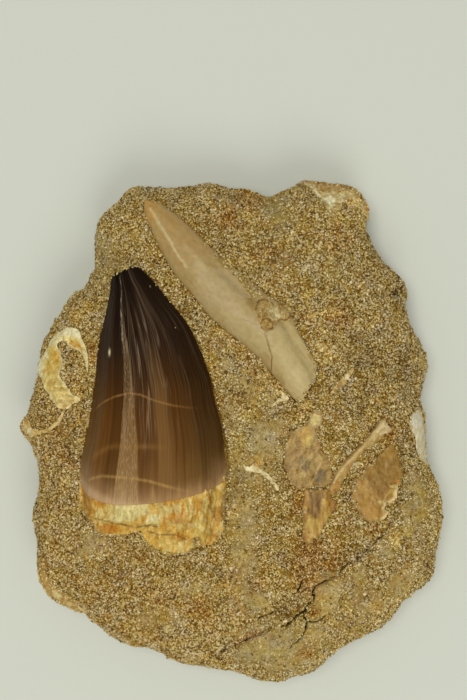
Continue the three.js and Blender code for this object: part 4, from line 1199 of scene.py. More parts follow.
print("making the bones and shells")
chalk = fossilMaterial("chalkyShell", roughness=0.6, specular=0.3, pores=0.35, poreSize=0.3, depth=0.06)
brown = fossilMaterial("brownBone", roughness=0.42, specular=0.4, pores=0.3, poreSize=0.35, depth=0.05)
cream = fossilMaterial("creamBone", roughness=0.5, specular=0.35, pores=0.34, poreSize=0.3, depth=0.07)
plates = {
    # name: node, slot, material, look
    "leftShell": ("left_shell", "pale_shell", chalk, {
        "outline": [
            (-29.1, 18.7), (-27.9, 18.5), (-27.2, 18), (-26.8, 16.8), (-26.2, 15.7), (-25.7, 14.4),
            (-25.5, 12.8), (-25.4, 11.7), (-25.6, 10.6), (-25.9, 11.6), (-26.1, 12.6), (-26.5, 13.6),
            (-27.2, 14.3), (-28.3, 14.9), (-29.3, 15.3), (-29.8, 16.2), (-30.8, 16.2), (-31.5, 15.5),
            (-30.9, 14.4), (-30.5, 13.3), (-30.2, 11.9), (-30.8, 11), (-31, 10.1), (-30.3, 9.2), (-29.6, 8.4),
            (-28.9, 7.5), (-28.2, 6.6), (-27, 6.3), (-27.1, 5.4), (-28.2, 5), (-28.9, 4.4), (-29.8, 4),
            (-31, 4.3), (-31.7, 5), (-32.4, 5.8), (-33.1, 6.9), (-33.9, 8), (-34.5, 9.4), (-35.5, 10.5),
            (-35.5, 11.8), (-34.8, 12.8), (-33.8, 14.4), (-33.1, 16), (-31.8, 17.3), (-30.6, 18.2)],
        "thickness": 3.4, "proud": 0.8, "jag": 0.09, "grain": [(1.6, 0.14), (0.6, 0.06)], "creep": 0.08,
        "highEdge": (0.6, 2.6, [(-25.6, 11), (-26, 14.4), (-27, 17.6), (-29, 18.5), (-31.6, 17.2),
                                (-33.6, 14.6), (-35.4, 11.2), (-33.6, 7.4), (-31.4, 4.6)]),
        "ridges": [(0.16, 0.18, [(-31.6, 8.4), (-29.6, 8.2)]), (0.16, 0.18, [(-32, 7.2), (-28.8, 7)]),
                   (0.14, 0.16, [(-31.6, 6.2), (-28, 6)]), (0.12, 0.16, [(-31, 5.1), (-28.4, 5.2)])],
        "tones": ["dcc480", "d0aa5c", "e4d498"], "mottle": (0.9, 1.4, 0.4), "warmth": (0.98, 0.96, 0.74),
        "speckle": 0.36,
        "blots": [("d4b25a", 0.8, -32.4, 12.6, 1.5, 1.8, 0.2), ("d6b668", 0.6, -31.2, 10.4, 1.3, 1.2),
                  ("cf9a40", 0.7, -31.6, 13.4, 0.6, 2.0, 0.3), ("d0a04c", 0.8, -28.0, 15.3, 1.7, 0.6, -0.5),
                  ("eee4c8", 1.0, -28.8, 17.9, 2.4, 0.5), ("e8dcb8", 0.95, -31.8, 16.6, 1.5, 1, 0.6),
                  ("dcc690", 0.8, -30, 5.2, 1.8, 0.8), ("ede3c6", 0.95, -35, 11.4, 1.0, 1.7),
                  ("ece0bc", 0.95, -34, 14.0, 0.9, 1.8, 0.55), ("c08c40", 0.6, -29.4, 4.4, 0.9, 0.6),
                  ("b98d42", 0.5, -30.6, 14.2, 0.7), ("bf9a50", 0.5, -32.6, 8.6, 0.9),
                  ("d9c58e", 0.6, -32, 6.6, 1.2, 0.7)],
        "lines": [("a9813f", 0.6, 0.14, [(-32, 7.8), (-29.4, 7.6)]),
                  ("a9813f", 0.6, 0.12, [(-31.6, 6.7), (-28.4, 6.5)]),
                  ("b08a48", 0.6, 0.12, [(-31, 5.6), (-28.2, 5.6)]),
                  ("e6dcb8", 0.7, 0.2, [(-25.7, 11.6), (-26, 13.6), (-27, 16.4)]),
                  ("a9823e", 0.5, 0.16, [(-33.6, 13.2), (-32.2, 11), (-31.2, 8.6)]),
                  ("eee4c0", 0.6, 0.14, [(-31.8, 8.2), (-29.6, 8.2)]),
                  ("eee4c0", 0.6, 0.12, [(-31.2, 7.2), (-28.8, 7.1)])],
        "rim": ("ece4c8", 0.75, 0.5)}),
    "leftRimShell": ("left_rim_shell", "pale_shell", chalk, {
        "outline": [(-37.9, 1.8), (-37.2, 2.4), (-36.6, 1.4), (-36, 0.6), (-34.7, 0.2), (-32.9, 0.8),
                    (-31.4, 1.9), (-30.6, 3), (-30.2, 4), (-29.8, 3.8), (-30.1, 2.6), (-30.9, 1.4),
                    (-32.4, 0.3), (-34, -0.4), (-35.6, -0.9), (-37, -0.6), (-38, 0.4)],
        "thickness": 2.6, "proud": 0.7, "jag": 0.16, "voxel": 0.12, "grain": [(1.0, 0.12)], "creep": 0.15,
        "tones": ["d2bc86", "dccca0", "c49e5a"], "mottle": (0.9, 1, 0),
        "blots": [("b98238", 0.7, -37.4, 1.9, 0.6), ("e2d8bc", 0.9, -36.6, 0.1, 0.6),
                  ("c79c54", 0.6, -35, 0.5, 0.8)]}),
    "boneBlade": ("forked_bone_blade", "brown_bone", brown, {
        "outline": [
            (14.3, 4.3), (13.9, 3.2), (12.6, 1.4), (10.8, 0.5), (9.8, -1.3), (9.2, -3.5), (8.9, -5.3),
            (9.4, -7), (10.2, -8.6), (11.3, -9.7), (12.9, -9.9), (14.4, -9.8), (15.8, -9.6), (16.9, -9.3),
            (17.9, -7.9), (17.4, -5.9), (17.6, -4.7), (16.9, -4.0), (16, -3.4), (15.8, -2), (15.1, -0.9),
            (15.4, 0.9), (16.1, 2.6), (16.1, 3.7), (15.2, 4)],
        "thickness": 2.4, "proud": 0.28, "jag": 0.34, "creep": 0.28, "warmth": (0.77, 0.70, 0.35),
        "grain": [(1.7, 0.12, 1.6, -0.4), (0.6, 0.08)],
        "tones": ["b6965a", "a4875a", "c4a66c", "ab8a4e"], "mottle": (0.9, 2.2, -0.35), "speckle": 0.3,
        "mottleShare": 0.65,
        "blots": [("f8e8c4", 0.95, 15.0, 2.4, 1.1, 1.2), ("d4ae60", 0.8, 13.0, -0.4, 1.5, 1.3, -0.2),
                  ("e6d294", 0.8, 13.6, -1.4, 0.7, 1.6, -0.3), ("b87c34", 0.7, 15.5, -2.3, 0.45, 2.6, 0.15),
                  ("8f7850", 0.75, 13.0, -5.6, 1.7, 0.8, -0.4), ("7c6642", 0.85, 15.4, -7.8, 1.6, 0.8, 0.5),
                  ("ae8e56", 0.5, 10.6, -4.6, 1.2, 2), ("b07c34", 0.6, 10.4, 0, 0.6, 1.4),
                  ("d2b474", 0.6, 17.2, -6.4, 0.6, 1.6, 0.2), ("d8c08a", 0.6, 14.2, -5.8, 0.5, 1.4, -0.6),
                  ("d2ba82", 0.6, 12.4, -7.4, 0.5, 1.6, -0.5), ("dccb98", 0.5, 15.4, -4.4, 0.4, 1.4, -0.4)],
        "lines": [("96601f", 0.9, 0.13, [(13.6, 3.9), (15, 3.3), (16.2, 3.2)]),
                  ("dcc68e", 0.5, 0.12, [(11.6, -6.4), (13.4, -4.4), (14.4, -3.6)]),
                  ("d6bf88", 0.5, 0.12, [(14.2, -8.4), (15.6, -5.6), (15.9, -4.6)]),
                  ("6b5430", 0.5, 0.12, [(14.4, -8.9), (16.2, -7.2), (17, -6.6)]),
                  ("d8bc7a", 0.6, 0.16, [(12.6, 1.6), (10.8, -0.2), (9.6, -3)]),
                  ("6f5730", 0.5, 0.1, [(12, -3.4), (12.9, -6), (13.4, -8.6)]),
                  ("735a34", 0.4, 0.1, [(14.6, -3), (14.4, -5.2), (15, -7)])],
        "rim": ("a0844e", 0.75, 1.2)}),
    "boneStem": ("forked_bone_stem", "cream_bone", cream, {
        "outline": [
            (12.9, -10.15), (14.4, -10.05), (16, -9.9), (16.9, -10.2), (17.7, -11.5), (18.3, -12.2),
            (18.2, -13.7), (17.3, -15), (16.3, -16.3), (15.8, -17.9), (14.9, -18.8), (13.8, -19.5),
            (12.6, -19.1), (12.4, -17.3), (12.6, -15.6), (12.3, -13.4), (12.6, -11.7)],
        "thickness": 2.8, "proud": 0.36, "bulge": 0.25, "jag": 0.24, "creep": 0.15,
        "warmth": (0.69, 0.59, 0.30), "grain": [(1.4, 0.14, 2.4, 0.05), (0.5, 0.09, 2.6, 0.05)],
        "tones": ["cba55e", "b8914e", "dcc07c"], "mottle": (0.7, 3.2, 0.05), "speckle": 0.4,
        "blots": [("a08050", 0.85, 14.8, -11.6, 1.5, 1.2), ("957448", 0.7, 14.6, -13.8, 1.0, 1.6),
                  ("e2c880", 0.8, 14.2, -16.2, 1.2, 1.1), ("ecdcaa", 0.7, 14.0, -18.2, 0.8, 0.6),
                  ("b97a26", 0.75, 13.2, -18.4, 0.6, 0.6), ("b27020", 0.7, 12.6, -19, 0.5),
                  ("d9b05c", 0.8, 17.4, -12.6, 0.6, 1.8), ("b9802e", 0.6, 12.6, -12.4, 0.4, 2),
                  ("dfc688", 0.6, 16.6, -14.4, 0.5, 1.4, -0.4)],
        "lines": [("6b5232", 0.5, 0.12, [(14, -10.6), (14.2, -14)]),
                  ("6b5232", 0.5, 0.12, [(15.6, -10.8), (15.5, -13.4)]),
                  ("705633", 0.4, 0.1, [(14.9, -10.6), (14.8, -15)]),
                  ("b87f34", 0.6, 0.2, [(17.8, -11.4), (18.3, -12.6), (17.6, -14.6)])],
        "rim": ("a4864e", 0.6, 0.7)}),
    "boneArm": ("forked_bone_arm", "cream_bone", cream, {
        "outline": [
            (17.1, -10.0), (17.7, -8.0), (18.8, -6.2), (20.2, -4.5), (21.6, -3.0), (22.9, -1.8), (23.8, -0.7),
            (25.2, 0.9), (26.7, 2.6), (27.7, 1.4), (28.6, 0.1), (27.3, -0.4), (26.4, -1.1), (25.6, -1.9),
            (24.2, -2.8), (23.1, -3.7), (21.9, -5.1), (20.9, -6.5), (20, -7.9), (19.3, -9.1), (18.7, -10.6),
            (18.0, -11.5)],
        "thickness": 3.2, "proud": 0.42, "bulge": 0.2, "bulgeWidth": 0.5, "jag": 0.16, "voxel": 0.12,
        "creep": 0.08, "warmth": (0.65, 0.55, 0.33),
        "grain": [(1.1, 0.10, 2.4, -0.8), (0.5, 0.07)],
        "tones": ["d0b87c", "dcca98", "bf9a5a"], "mottle": (0.8, 2.2, -0.8), "speckle": 0.35,
        "blots": [("f2e6cc", 0.95, 26.9, 0.8, 1.5, 1.1, -0.6), ("c9983f", 0.8, 18.2, -9.6, 0.9, 1.6, -0.3),
                  ("c39648", 0.5, 21, -5, 0.8, 2, -0.7), ("d2ae64", 0.6, 19.4, -7.2, 0.5, 2, -0.5),
                  ("d9c69a", 0.6, 25.4, -0.4, 0.8, 1.4, -0.7)],
        "lines": [("f6eabe", 0.9, 0.24, [(17.9, -8.8), (18.8, -7.2), (21, -4.7), (23.6, -2.1), (26, 0.4)]),
                  # the dark line along the left edge is a painted shadow
                  ("96703a", 0.7, 0.16, [(17.3, -9.6), (18.6, -6.6), (21, -3.9), (24, -0.8), (26, 1.6)])]}),
    "bonePlate": ("bone_plate", "brown_bone", brown, {
        "outline": [
            (27.9, -2.2), (29.1, -2.8), (29.6, -3.9), (30.1, -5.5), (30.5, -7), (30.1, -8.6), (29.7, -9.4),
            (29.4, -10.3), (29.4, -11.4), (28.3, -12.4), (27.3, -12.6), (27.4, -13.6), (27.9, -14.3),
            (27.2, -15.4), (26.3, -15.6), (25.4, -16), (24, -16), (23.1, -15.1), (22.5, -14), (21.6, -13.3),
            (20.9, -11.5), (21.2, -10), (21.4, -8.4), (22.5, -7.9), (23.5, -6.7), (24.5, -5.3), (25.8, -4.5),
            (27, -3)],
        "thickness": 1.8, "proud": 0.3, "jag": 0.34, "creep": 0.15, "warmth": (0.83, 0.76, 0.42),
        "grain": [(2.4, 0.10), (0.7, 0.07)],
        "tones": ["b48d4c", "ba9a60", "a07a3c"], "mottle": (1.5, 1.8, 0.5), "mottleShare": 0.6,
        "speckle": 0.22,
        "blots": [("9f804e", 0.7, 27.2, -7.0, 2.6, 1.1, 0.3), ("9c7a46", 0.6, 25.6, -9.4, 2.2),
                  ("bb9248", 0.6, 23.4, -11.4, 2.0), ("dc8c24", 0.95, 29.6, -8.9, 0.7, 0.6),
                  ("e8d8a4", 0.9, 28.7, -9.6, 0.8, 0.4, 0.1), ("dfc888", 0.85, 28.9, -10.9, 0.4, 1.4),
                  ("ece0b8", 0.9, 27.0, -13.4, 0.4, 1.6, -0.2), ("e0cf9e", 0.7, 26.4, -12.4, 0.7, 0.5),
                  ("d8bf80", 0.6, 26.2, -15.5, 1.1, 0.5), ("c29546", 0.6, 24.6, -14.2, 1.5, 0.8),
                  ("c9a562", 0.5, 24, -9.4, 0.8, 1.4, 0.4), ("94723e", 0.5, 26.4, -10.6, 0.9, 1.6, 0.3)],
        "lines": [("54390f", 0.9, 0.14, [(29.7, -3.7), (30.1, -5), (30.5, -6.2), (30.7, -7.4)]),
                  ("a46c26", 0.7, 0.16, [(28.2, -9.2), (29.9, -8.9)]),
                  ("ffe8d4", 1.0, 0.38, [(29.6, -9.6), (29.1, -10.6), (29.2, -11.6), (28.1, -12.4),
                                         (27.2, -12.8), (27.6, -14.4), (26.9, -15.2)]),
                  ("e2cb8a", 0.6, 0.14, [(28.3, -10.2), (27.4, -11.2), (26.9, -12.2)]),
                  ("8a6834", 0.4, 0.12, [(23.6, -7.4), (25.2, -10.4), (26.2, -13.8)]),
                  ("c9a864", 0.4, 0.12, [(22.4, -8.6), (23.8, -11.6), (24.4, -14.6)])],
        "rim": ("a0844e", 0.7, 1.0)}),
    "edgeShell": ("edge_shell", "pale_shell", chalk, {
        "outline": [
            (33.9, 3.8), (34.7, 1.9), (35.2, -0.2), (35.3, -2.3), (35.4, -4.1), (35.6, -6.4), (34.9, -5.8),
            (33.7, -4.4), (33.2, -2.7), (32.9, -0.9), (32.2, 0), (31.8, 1.1), (32, 2.5), (32.6, 3.2)],
        "thickness": 2.6, "proud": 0.5, "jag": 0.1, "creep": 0.1, "grain": [(1.5, 0.1)],
        "tones": ["d6caa8", "e2d8bc", "c8b88c"], "mottle": (1.4, 1.6, 0.2), "mottleShare": 0.6,
        "speckle": 0.2, "warmth": (1.0, 1.0, 0.96), "blots": [("dcd5bf", 0.8, 33.3, 1.8, 1.1, 1.4),
                                                              ("d0c4a0", 0.6, 34.4, -3, 0.9, 2),
                                                              ("b38a48", 0.6, 32, 0.6, 0.4, 1.6)],
        "lines": [("7d6234", 0.6, 0.14, [(34.6, 2.6), (35, 0.6), (35.3, -2)])]}),
    "crestShell": ("crest_shell", "pale_shell", chalk, {
        "outline": [
            (11.8, 45.3), (13.4, 44.7), (14.4, 43.9), (15.2, 42.6), (16.2, 41.6), (16.8, 40.6), (17.4, 39.6),
            (18.6, 39.2), (19.6, 39.8), (20.2, 41), (21, 41.9), (22.2, 41.6), (23.2, 40.4), (24, 39.2),
            (24.7, 38.9), (25, 40), (24.6, 41.4), (23.8, 42.8), (22.4, 44.1), (20.6, 44.8), (18.4, 45.1),
            (16, 45.3), (14, 45.7)],
        "thickness": 2.2, "proud": 0.25, "jag": 0.3, "creep": 0.4, "grain": [(1.6, 0.18), (0.6, 0.10)],
        "tones": ["ccb078", "dac698", "b8945a"], "mottle": (0.9, 1, 0), "speckle": 0.45,
        "warmth": (0.98, 0.97, 0.78),
        "blots": [("ebe2c4", 0.95, 17.6, 41.4, 1.2, 1.3), ("dccba0", 0.8, 19.8, 42.2, 1.1),
                  ("b57e36", 0.7, 21.8, 41.4, 0.8), ("bd9048", 0.6, 16.8, 43.9, 1.4, 0.5),
                  ("c49a55", 0.6, 22.6, 42.2, 1.2, 0.8), ("d2bf8e", 0.6, 17.4, 40.1, 0.9, 0.6),
                  ("b08238", 0.6, 19.6, 44, 1.6, 0.3, -0.1)],
        "lines": [("ece4c8", 1.0, 0.26, [(12, 45.4), (13.5, 44.9), (14.4, 44.3), (15.2, 43.2), (16.1, 42.3),
                                         (17.2, 41.6)]),
                  ("b8731e", 0.9, 0.36, [(13, 45.9), (15.6, 45.3), (19, 45), (21.8, 44.4), (23.8, 43),
                                         (24.8, 41), (24.9, 39)]),
                  ("e2d2a6", 0.6, 0.5, [(18.4, 43.4), (20.8, 43.2), (22.8, 42), (23.9, 40.4)])],
        "rim": ("a08450", 0.5, 0.7)}),
    "middleChip": ("chip_middle", "pale_shell", chalk, {
        "outline": [(8.4, 7.5), (8.9, 7.3), (10.1, 6.1), (9.6, 5.6), (8.8, 5.6), (7.8, 5), (7.2, 4.6),
                    (7.4, 5.3), (8.2, 6.0), (8.8, 6.5)],
        "thickness": 1.3, "proud": 0.3, "voxel": 0.10, "jag": 0.14, "creep": 0.12, "grain": [(0.6, 0.08)],
        "tones": ["dcd0ac", "c8b684"], "mottle": (0.8, 1, 0)}),
    "boneSliver": ("bone_sliver", "cream_bone", cream, {
        "outline": [
            (2, -5.5), (2.5, -5.9), (3.2, -5.9), (4, -5.2), (4.5, -5.5), (5, -6.5), (6, -6.9), (7, -7.9),
            (7.9, -9), (8.3, -9.9), (7.9, -10.2), (7.1, -9.1), (6.1, -8), (5.2, -7.3), (4.2, -7.0), (3, -6.8),
            (2.3, -6.5)],
        "thickness": 1.5, "proud": 0.34, "voxel": 0.11, "jag": 0.14, "creep": 0.15, "grain": [(0.8, 0.09)],
        "tones": ["dccfa8", "cdb98a"], "mottle": (0.9, 1, 0),
        "blots": [("bf8a3c", 0.8, 4.3, -5.6, 0.5), ("e9e2cc", 0.8, 3, -6.3, 0.5),
                  ("cdb98a", 0.5, 7, -8.6, 0.5)]}),
    "cornerBone": ("corner_bone", "cream_bone", cream, {
        "outline": [
            (-35.6, -23.6), (-34.2, -24), (-33.4, -26), (-32.4, -27.6), (-30.6, -28.6), (-29.4, -30),
            (-27.6, -31.6), (-26.6, -33), (-28.4, -32.9), (-30, -32.3), (-32, -31.4), (-34, -29.6),
            (-35.5, -26.6)],
        "thickness": 3.2, "proud": 0.3, "jag": 0.2, "creep": 0.6, "grain": [(1.6, 0.16), (0.6, 0.07)],
        "tones": ["b99858", "c9ae6e", "a88648"], "mottle": (1.2, 1, 0), "speckle": 0.35,
        "blots": [("dccb98", 0.85, -31.6, -29.6, 1.2, 0.6, -0.7),
                  ("d4bd86", 0.7, -29.6, -31.4, 1.1, 0.5, -0.6), ("c29c56", 0.7, -33.8, -27, 1.2, 1.6),
                  ("b5904e", 0.5, -34.6, -24.6, 0.8, 1.2)],
        "rim": ("a08450", 0.5, 0.6)}),
    "rightChip": ("chip_right", "cream_bone", cream, {
        "outline": [
            (21.4, 11.4), (21.6, 10.8), (20.9, 9.9), (20.4, 9), (19.6, 8.2), (18.8, 7.6), (18, 7),
            (17.4, 6.9), (17.9, 7.8), (18.6, 8.8), (19.5, 9.7), (20.4, 10.7)],
        "thickness": 1.6, "proud": 0.35, "voxel": 0.11, "jag": 0.12, "creep": 0.25, "grain": [(0.8, 0.08)],
        "tones": ["c2a86e", "ae8a48"], "mottle": (0.8, 1, 0), "speckle": 0.35,
        "blots": [("dfd3b0", 0.9, 20.3, 9.8, 0.5, 1.3, -0.7), ("b5843c", 0.7, 19, 8.2, 0.6),
                  ("ccb680", 0.6, 21, 10.8, 0.5)]}),
}
for name, (node, slot, material, look) in plates.items():
    makeFossil(name, look, material, node)

# small splinters of shell and bone that lie about in the sand: x, y, length, width, turn, colour
splinters = [
    (15.3, 33.0, 1.6, 0.34, -0.9, "e2d8b4"), (15.2, 38.6, 1.0, 0.75, 1.2, "ddd0a2"),
    (17.2, 37.5, 0.9, 0.5, -0.6, "c8b88a"), (21.1, 38.7, 0.8, 0.5, 0, "c2ae7c"),
    (23.6, 23.5, 1.1, 0.28, 1.4, "e2d9bc"), (25.1, 22.1, 0.8, 0.4, 0.4, "c4b284"),
    (22.7, -15.9, 1.3, 0.6, -1.0, "dacda4"), (29.5, -19.5, 1.3, 0.9, 0.7, "d6c080"),
    (28.1, -19.9, 0.7, 0.4, 0.4, "ccbc8e"), (33.4, -21.2, 0.7, 0.4, 0, "e4dcc6"),
    (9.4, -33.5, 1.1, 0.45, 0.4, "dcd0ac"), (1.8, -29.0, 0.8, 0.7, 0, "c9b98a"),
    (20.8, -29.4, 0.8, 0.6, 0.5, "c6b480"), (18.0, -33.0, 0.8, 0.7, 0, "c0b082"),
    (11.6, 30.1, 0.5, 0.35, 0, "dcd3b4"), (24.6, -17.2, 0.7, 0.4, 0.3, "cfbf90"),
    (-8.4, -40.6, 0.7, 0.4, 0.2, "c2ae7a"), (-21.0, -30.5, 0.6, 0.4, 0.9, "c6b27e"),
    (-12.4, 36.0, 0.7, 0.35, 0.3, "d2c496"), (-21.6, 30.8, 0.8, 0.4, 0.8, "c2ac76"),
    (8.6, 0.4, 0.6, 0.35, 0.5, "d4be80"), (14.4, 20.8, 2.1, 0.6, 0.45, "c4a768"),
    (17.4, 20.3, 1.4, 0.5, -0.2, "b88c46"), (-5.0, -21.2, 1.4, 0.4, -0.2, "d4d4c6"),
    (3.4, 6.4, 1.2, 0.3, 1.4, "b8a678"), (-32.6, 20.2, 0.7, 0.4, 0.6, "c0aa72"),
    (-27.2, 2.6, 0.8, 0.4, 1.1, "bca46a"), (19.8, 15.0, 0.7, 0.4, 0.9, "c2ac76"),
    (27.3, 16.4, 0.6, 0.4, 0.2, "cdbb8e"), (12.6, 25.6, 0.8, 0.35, -0.7, "c6b27e"),
    (6.2, 33.4, 0.6, 0.35, 0.3, "cab88a"), (-2.2, 38.2, 0.6, 0.4, 1.1, "c0a668"),
    (24.6, 5.6, 0.8, 0.3, -0.4, "c8b585"),
]
splinterLook = {
    "thickness": 0.8, "proud": 0.26, "voxel": 0.10, "jag": 0.12, "bulge": 0.1, "bulgeWidth": 0.3,
    "grain": [(0.5, 0.07)], "mottleShare": 0.35, "creep": 0.08,
}
splinterCorners = [(0.5, 0.1), (0.28, 0.5), (-0.2, 0.42), (-0.5, -0.06), (-0.24, -0.5), (0.3, -0.38)]
made = []
for i, (x, y, length, width, turn, code) in enumerate(splinters):
    uneven = 1 + 0.22 * np.sin(np.arange(len(splinterCorners)) * 2.1 + i)
    corners = np.array(splinterCorners) * uneven[:, None] * [length, width]
    spun = corners @ np.array([[math.cos(turn), math.sin(turn)], [-math.sin(turn), math.cos(turn)]])
    look = {**splinterLook, "outline": (spun + [x, y]).tolist(), "tones": [code, "b8a068"]}
    body = fragment(f"splinter{i}", look)
    colourFossil(body, look)
    made.append(body)
deselectAll()
for body in made:
    body.select_set(True)
bpy.context.view_layer.objects.active = made[0]
bpy.ops.object.join()
made[0].name = "shellSplinters"
finishPiece(made[0], chalk)

print("making the block")


def nearCrack(p, reach):
    best = np.full(len(p), 9.0)
    for *_, line in relief["cracks"]:
        best = np.minimum(best, fromLine(p, line, near=3)[0])
    return best < reach


# Lumps, layers, cracks, pits and the fossils' beds, with the colour and the grit that go with them; painted
# shade darkens the cracks, pits, holes and the sand at the fossils' edges.
def shapeBlock(body):
    p, n = coords(body), normals(body)
    top = smooth(n[:, 2], 0.15, 0.55)
    flank = (1 - top) * smooth(p[:, 2], 0.4, 2.0)
    under = 1 - smooth(p[:, 2], 0.1, 1.2)
    tone, grit = sandAt(p)
    away = toFossils(p)[0]
    calm = 0.25 + 0.75 * smooth(away, 0.1, 1.3)  # smoother beside a fossil
    out = np.zeros(len(p))
    for i, (size, even, gritty) in enumerate(relief["small"]):
        height = (even + (gritty - even) * grit) * (top * calm + 1.3 * flank)
        out += rough(p, size, 3, seed=17.3 * (i + 1)) * height
    out += rough(p, 9, 3, seed=31.7) * relief["flankLumps"] * flank
    layers = rough(p, 4.6, 3, seed=71.7, stretch=(3, 3, 0.34))
    out += layers * relief["bedding"] * flank
    wobble = p.copy()
    for axis in (0, 1):
        wobble[:, axis] += 0.22 * rough(p, 0.9, 2, seed=5.1 + 4 * axis)
    # painted shade, gathered from the cracks, pits, holes and beds
    dark = np.zeros(len(p))
    for depth, half, line in relief["cracks"]:
        gap, share = fromLine(wobble, line, near=3)[:2]
        taper = 0.45 + 0.55 * window(share, 0, 0.15, 0.7, 1)
        groove = np.clip(1 - gap / (half * taper * 1.5), 0, 1)
        out -= depth * taper * np.sqrt(groove) * top
        dark = np.maximum(dark, smooth(groove, 0.02, 0.5))
    for x, y, reach, depth in relief["pits"]:
        near = spot(p, x, y, reach)
        out -= depth * near * top
        dark = np.maximum(dark, sandLook["pitShade"] * smooth(near, 0.45, 0.9))
    # scattered pits where the sand has weathered out
    pitted = rough(p, 0.95, 2, seed=91.0) + 0.25 * grit
    holes = smooth(pitted, 0.42, 0.68) * smooth(grit, 0.35, 0.7)
    out -= relief["holeDepth"] * holes * (top * calm + flank)
    # painted shade in the holes
    dark = np.maximum(dark, sandLook["holeShade"] * holes)
    p += n * out[:, None] * (1 - under)[:, None]
    p[:, 2] += broadRelief(p) * top * smooth(p[:, 2], 6, 10)
    # the beds of the fossils
    seat = faceZ(p) - relief["bedDrop"] - relief["bedDepth"] * smooth(-away, 0.05, 0.6)
    sunk = smooth(away, 0.30, -0.02) * top
    p[:, 2] = np.where(away < 0.3, p[:, 2] + (np.minimum(p[:, 2], seat) - p[:, 2]) * sunk, p[:, 2])
    # painted shade on the sand at a fossil's edge
    dark = np.maximum(dark, sandLook["bedShade"] * smooth(away, 0.28, 0.02) * top)
    p[:, 2] = np.maximum(p[:, 2], 0)
    moveTo(body, p)
    ledgeShade = np.zeros(len(p))
    code, strength, half = sandLook["ledgeShade"]
    for _, line in relief["ledges"]:
        step = fromLine(wobble, line, near=3)[0]
        ledgeShade = np.maximum(ledgeShade, hump(step, strength, 0, half))
    tone = toward(tone, code, ledgeShade)
    # less of the laid colour between grains, as painted shade
    lift = np.array(sandLook["lift"]) - np.outer(smooth(grit, 0.2, 0.6), sandLook["gapShade"])
    setTone(body, tone * lift * (1 - sandLook["paintedShadeStrength"] * dark)[:, None])
    setPaint(body, "grit", grit)
    return tone, grit


sandLook = {
    "grain": 0.34,
    "coarse": 0.75, "coarseShare": 0.28,
    "lift": (2.3, 2.5, 2.9),  # the laid colour is the palest grain's
    # painted shade between grains, darker and browner than on even clay
    "gapShade": (0.35, 0.7, 2.0),  # how much less of that there is between grains than on even clay
    # grain colours, as shares of the palest grain's
    "grains": [(0.0, "6f5b20"), (0.10, "9a8d60"), (0.22, "b9b093"), (0.40, "cdc6b0"), (0.55, "b0a583"),
               (0.66, "dad5c6"), (0.80, "bfae86"), (0.90, "ffffff"), (1.0, "8c7f4f")],
    # the colour of the painted shade in the gaps between grains
    "gap": "452a08",
    "clay": [(0.30, "7c6e3c"), (0.42, "aea380"), (0.50, "c2baa0"), (0.66, "ddd9cc")],
    "ledgeShade": ("5f4112", 0.75, 0.34),  # colour, strength, half width
    # painted shade: its full strength in the cracks, then its share in pits, holes and beds
    "paintedShadeStrength": 0.93,
    "pitShade": 0.7, "holeShade": 0.55, "bedShade": 0.20,  # against a crack
    "bump": 0.26,
}


def sandMaterial(name, look):
    mat, shader = newMaterial(name, roughness=0.88, specular=0.25)
    at = place(mat)
    tone, grit = painted(mat, "tone", "Color"), painted(mat, "grit")
    grain = ramp(mat, oneOf(mat, cells(mat, at, look["grain"], "Color")), look["grains"])
    coarse = ramp(mat, oneOf(mat, cells(mat, at, look["coarse"], "Color")), look["grains"])
    gritty = mix(mat, 1.0, tone, mix(mat, look["coarseShare"], grain, coarse), "MULTIPLY")
    # painted shade darkens the gaps between the grains
    gap = cells(mat, at, look["grain"], "Distance")
    gritty = mix(mat, between(mat, gap, 0.42, 0.80, 0, 0.85), gritty, look["gap"])
    mist = cloud(mat, at, 0.55, 5, 0.75)
    even = mix(mat, 1.0, tone, ramp(mat, mist, look["clay"]), "MULTIPLY")
    patchy = between(mat, cloud(mat, at, 0.9, 3, 0.6), 0.3, 0.7, -0.45, 0.45)
    share = between(mat, maths(mat, "ADD", grit, patchy), 0.25, 0.55)
    plug(mat, mix(mat, share, even, gritty), shader.inputs["Base Color"])
    dome = maths(mat, "MULTIPLY", maths(mat, "POWER", gap, 1.6), maths(mat, "MULTIPLY", share, -1.0))
    height = maths(mat, "ADD", dome, maths(mat, "MULTIPLY", mist, 0.8))
    plug(mat, bump(mat, height, look["bump"]), shader.inputs["Normal"])
    return mat


def onUnderside(p, n):
    return p[:, 2] < 0.06


def onFlanks(p, n):
    return (n[:, 2] < 0.35) & (p[:, 2] > 0.2)


rock = wrapGrid("matrixRock", block["around"], block["along"], blockShape)
recut(rock, block["voxel"])
onFaces(rock, onUnderside, lambda: bpy.ops.mesh.decimate(ratio=block["underThinning"]))
onFaces(rock, onFlanks, lambda: bpy.ops.mesh.decimate(ratio=block["flankThinning"]))
for reach in block["crackFineness"]:
    onFaces(rock, lambda p, n: nearCrack(p, reach) & (n[:, 2] > 0.3), bpy.ops.mesh.subdivide)
rockTone, rockGrit = shapeBlock(rock)
finishPiece(rock, sandMaterial("sandyMatrix", sandLook), ["matrix"])

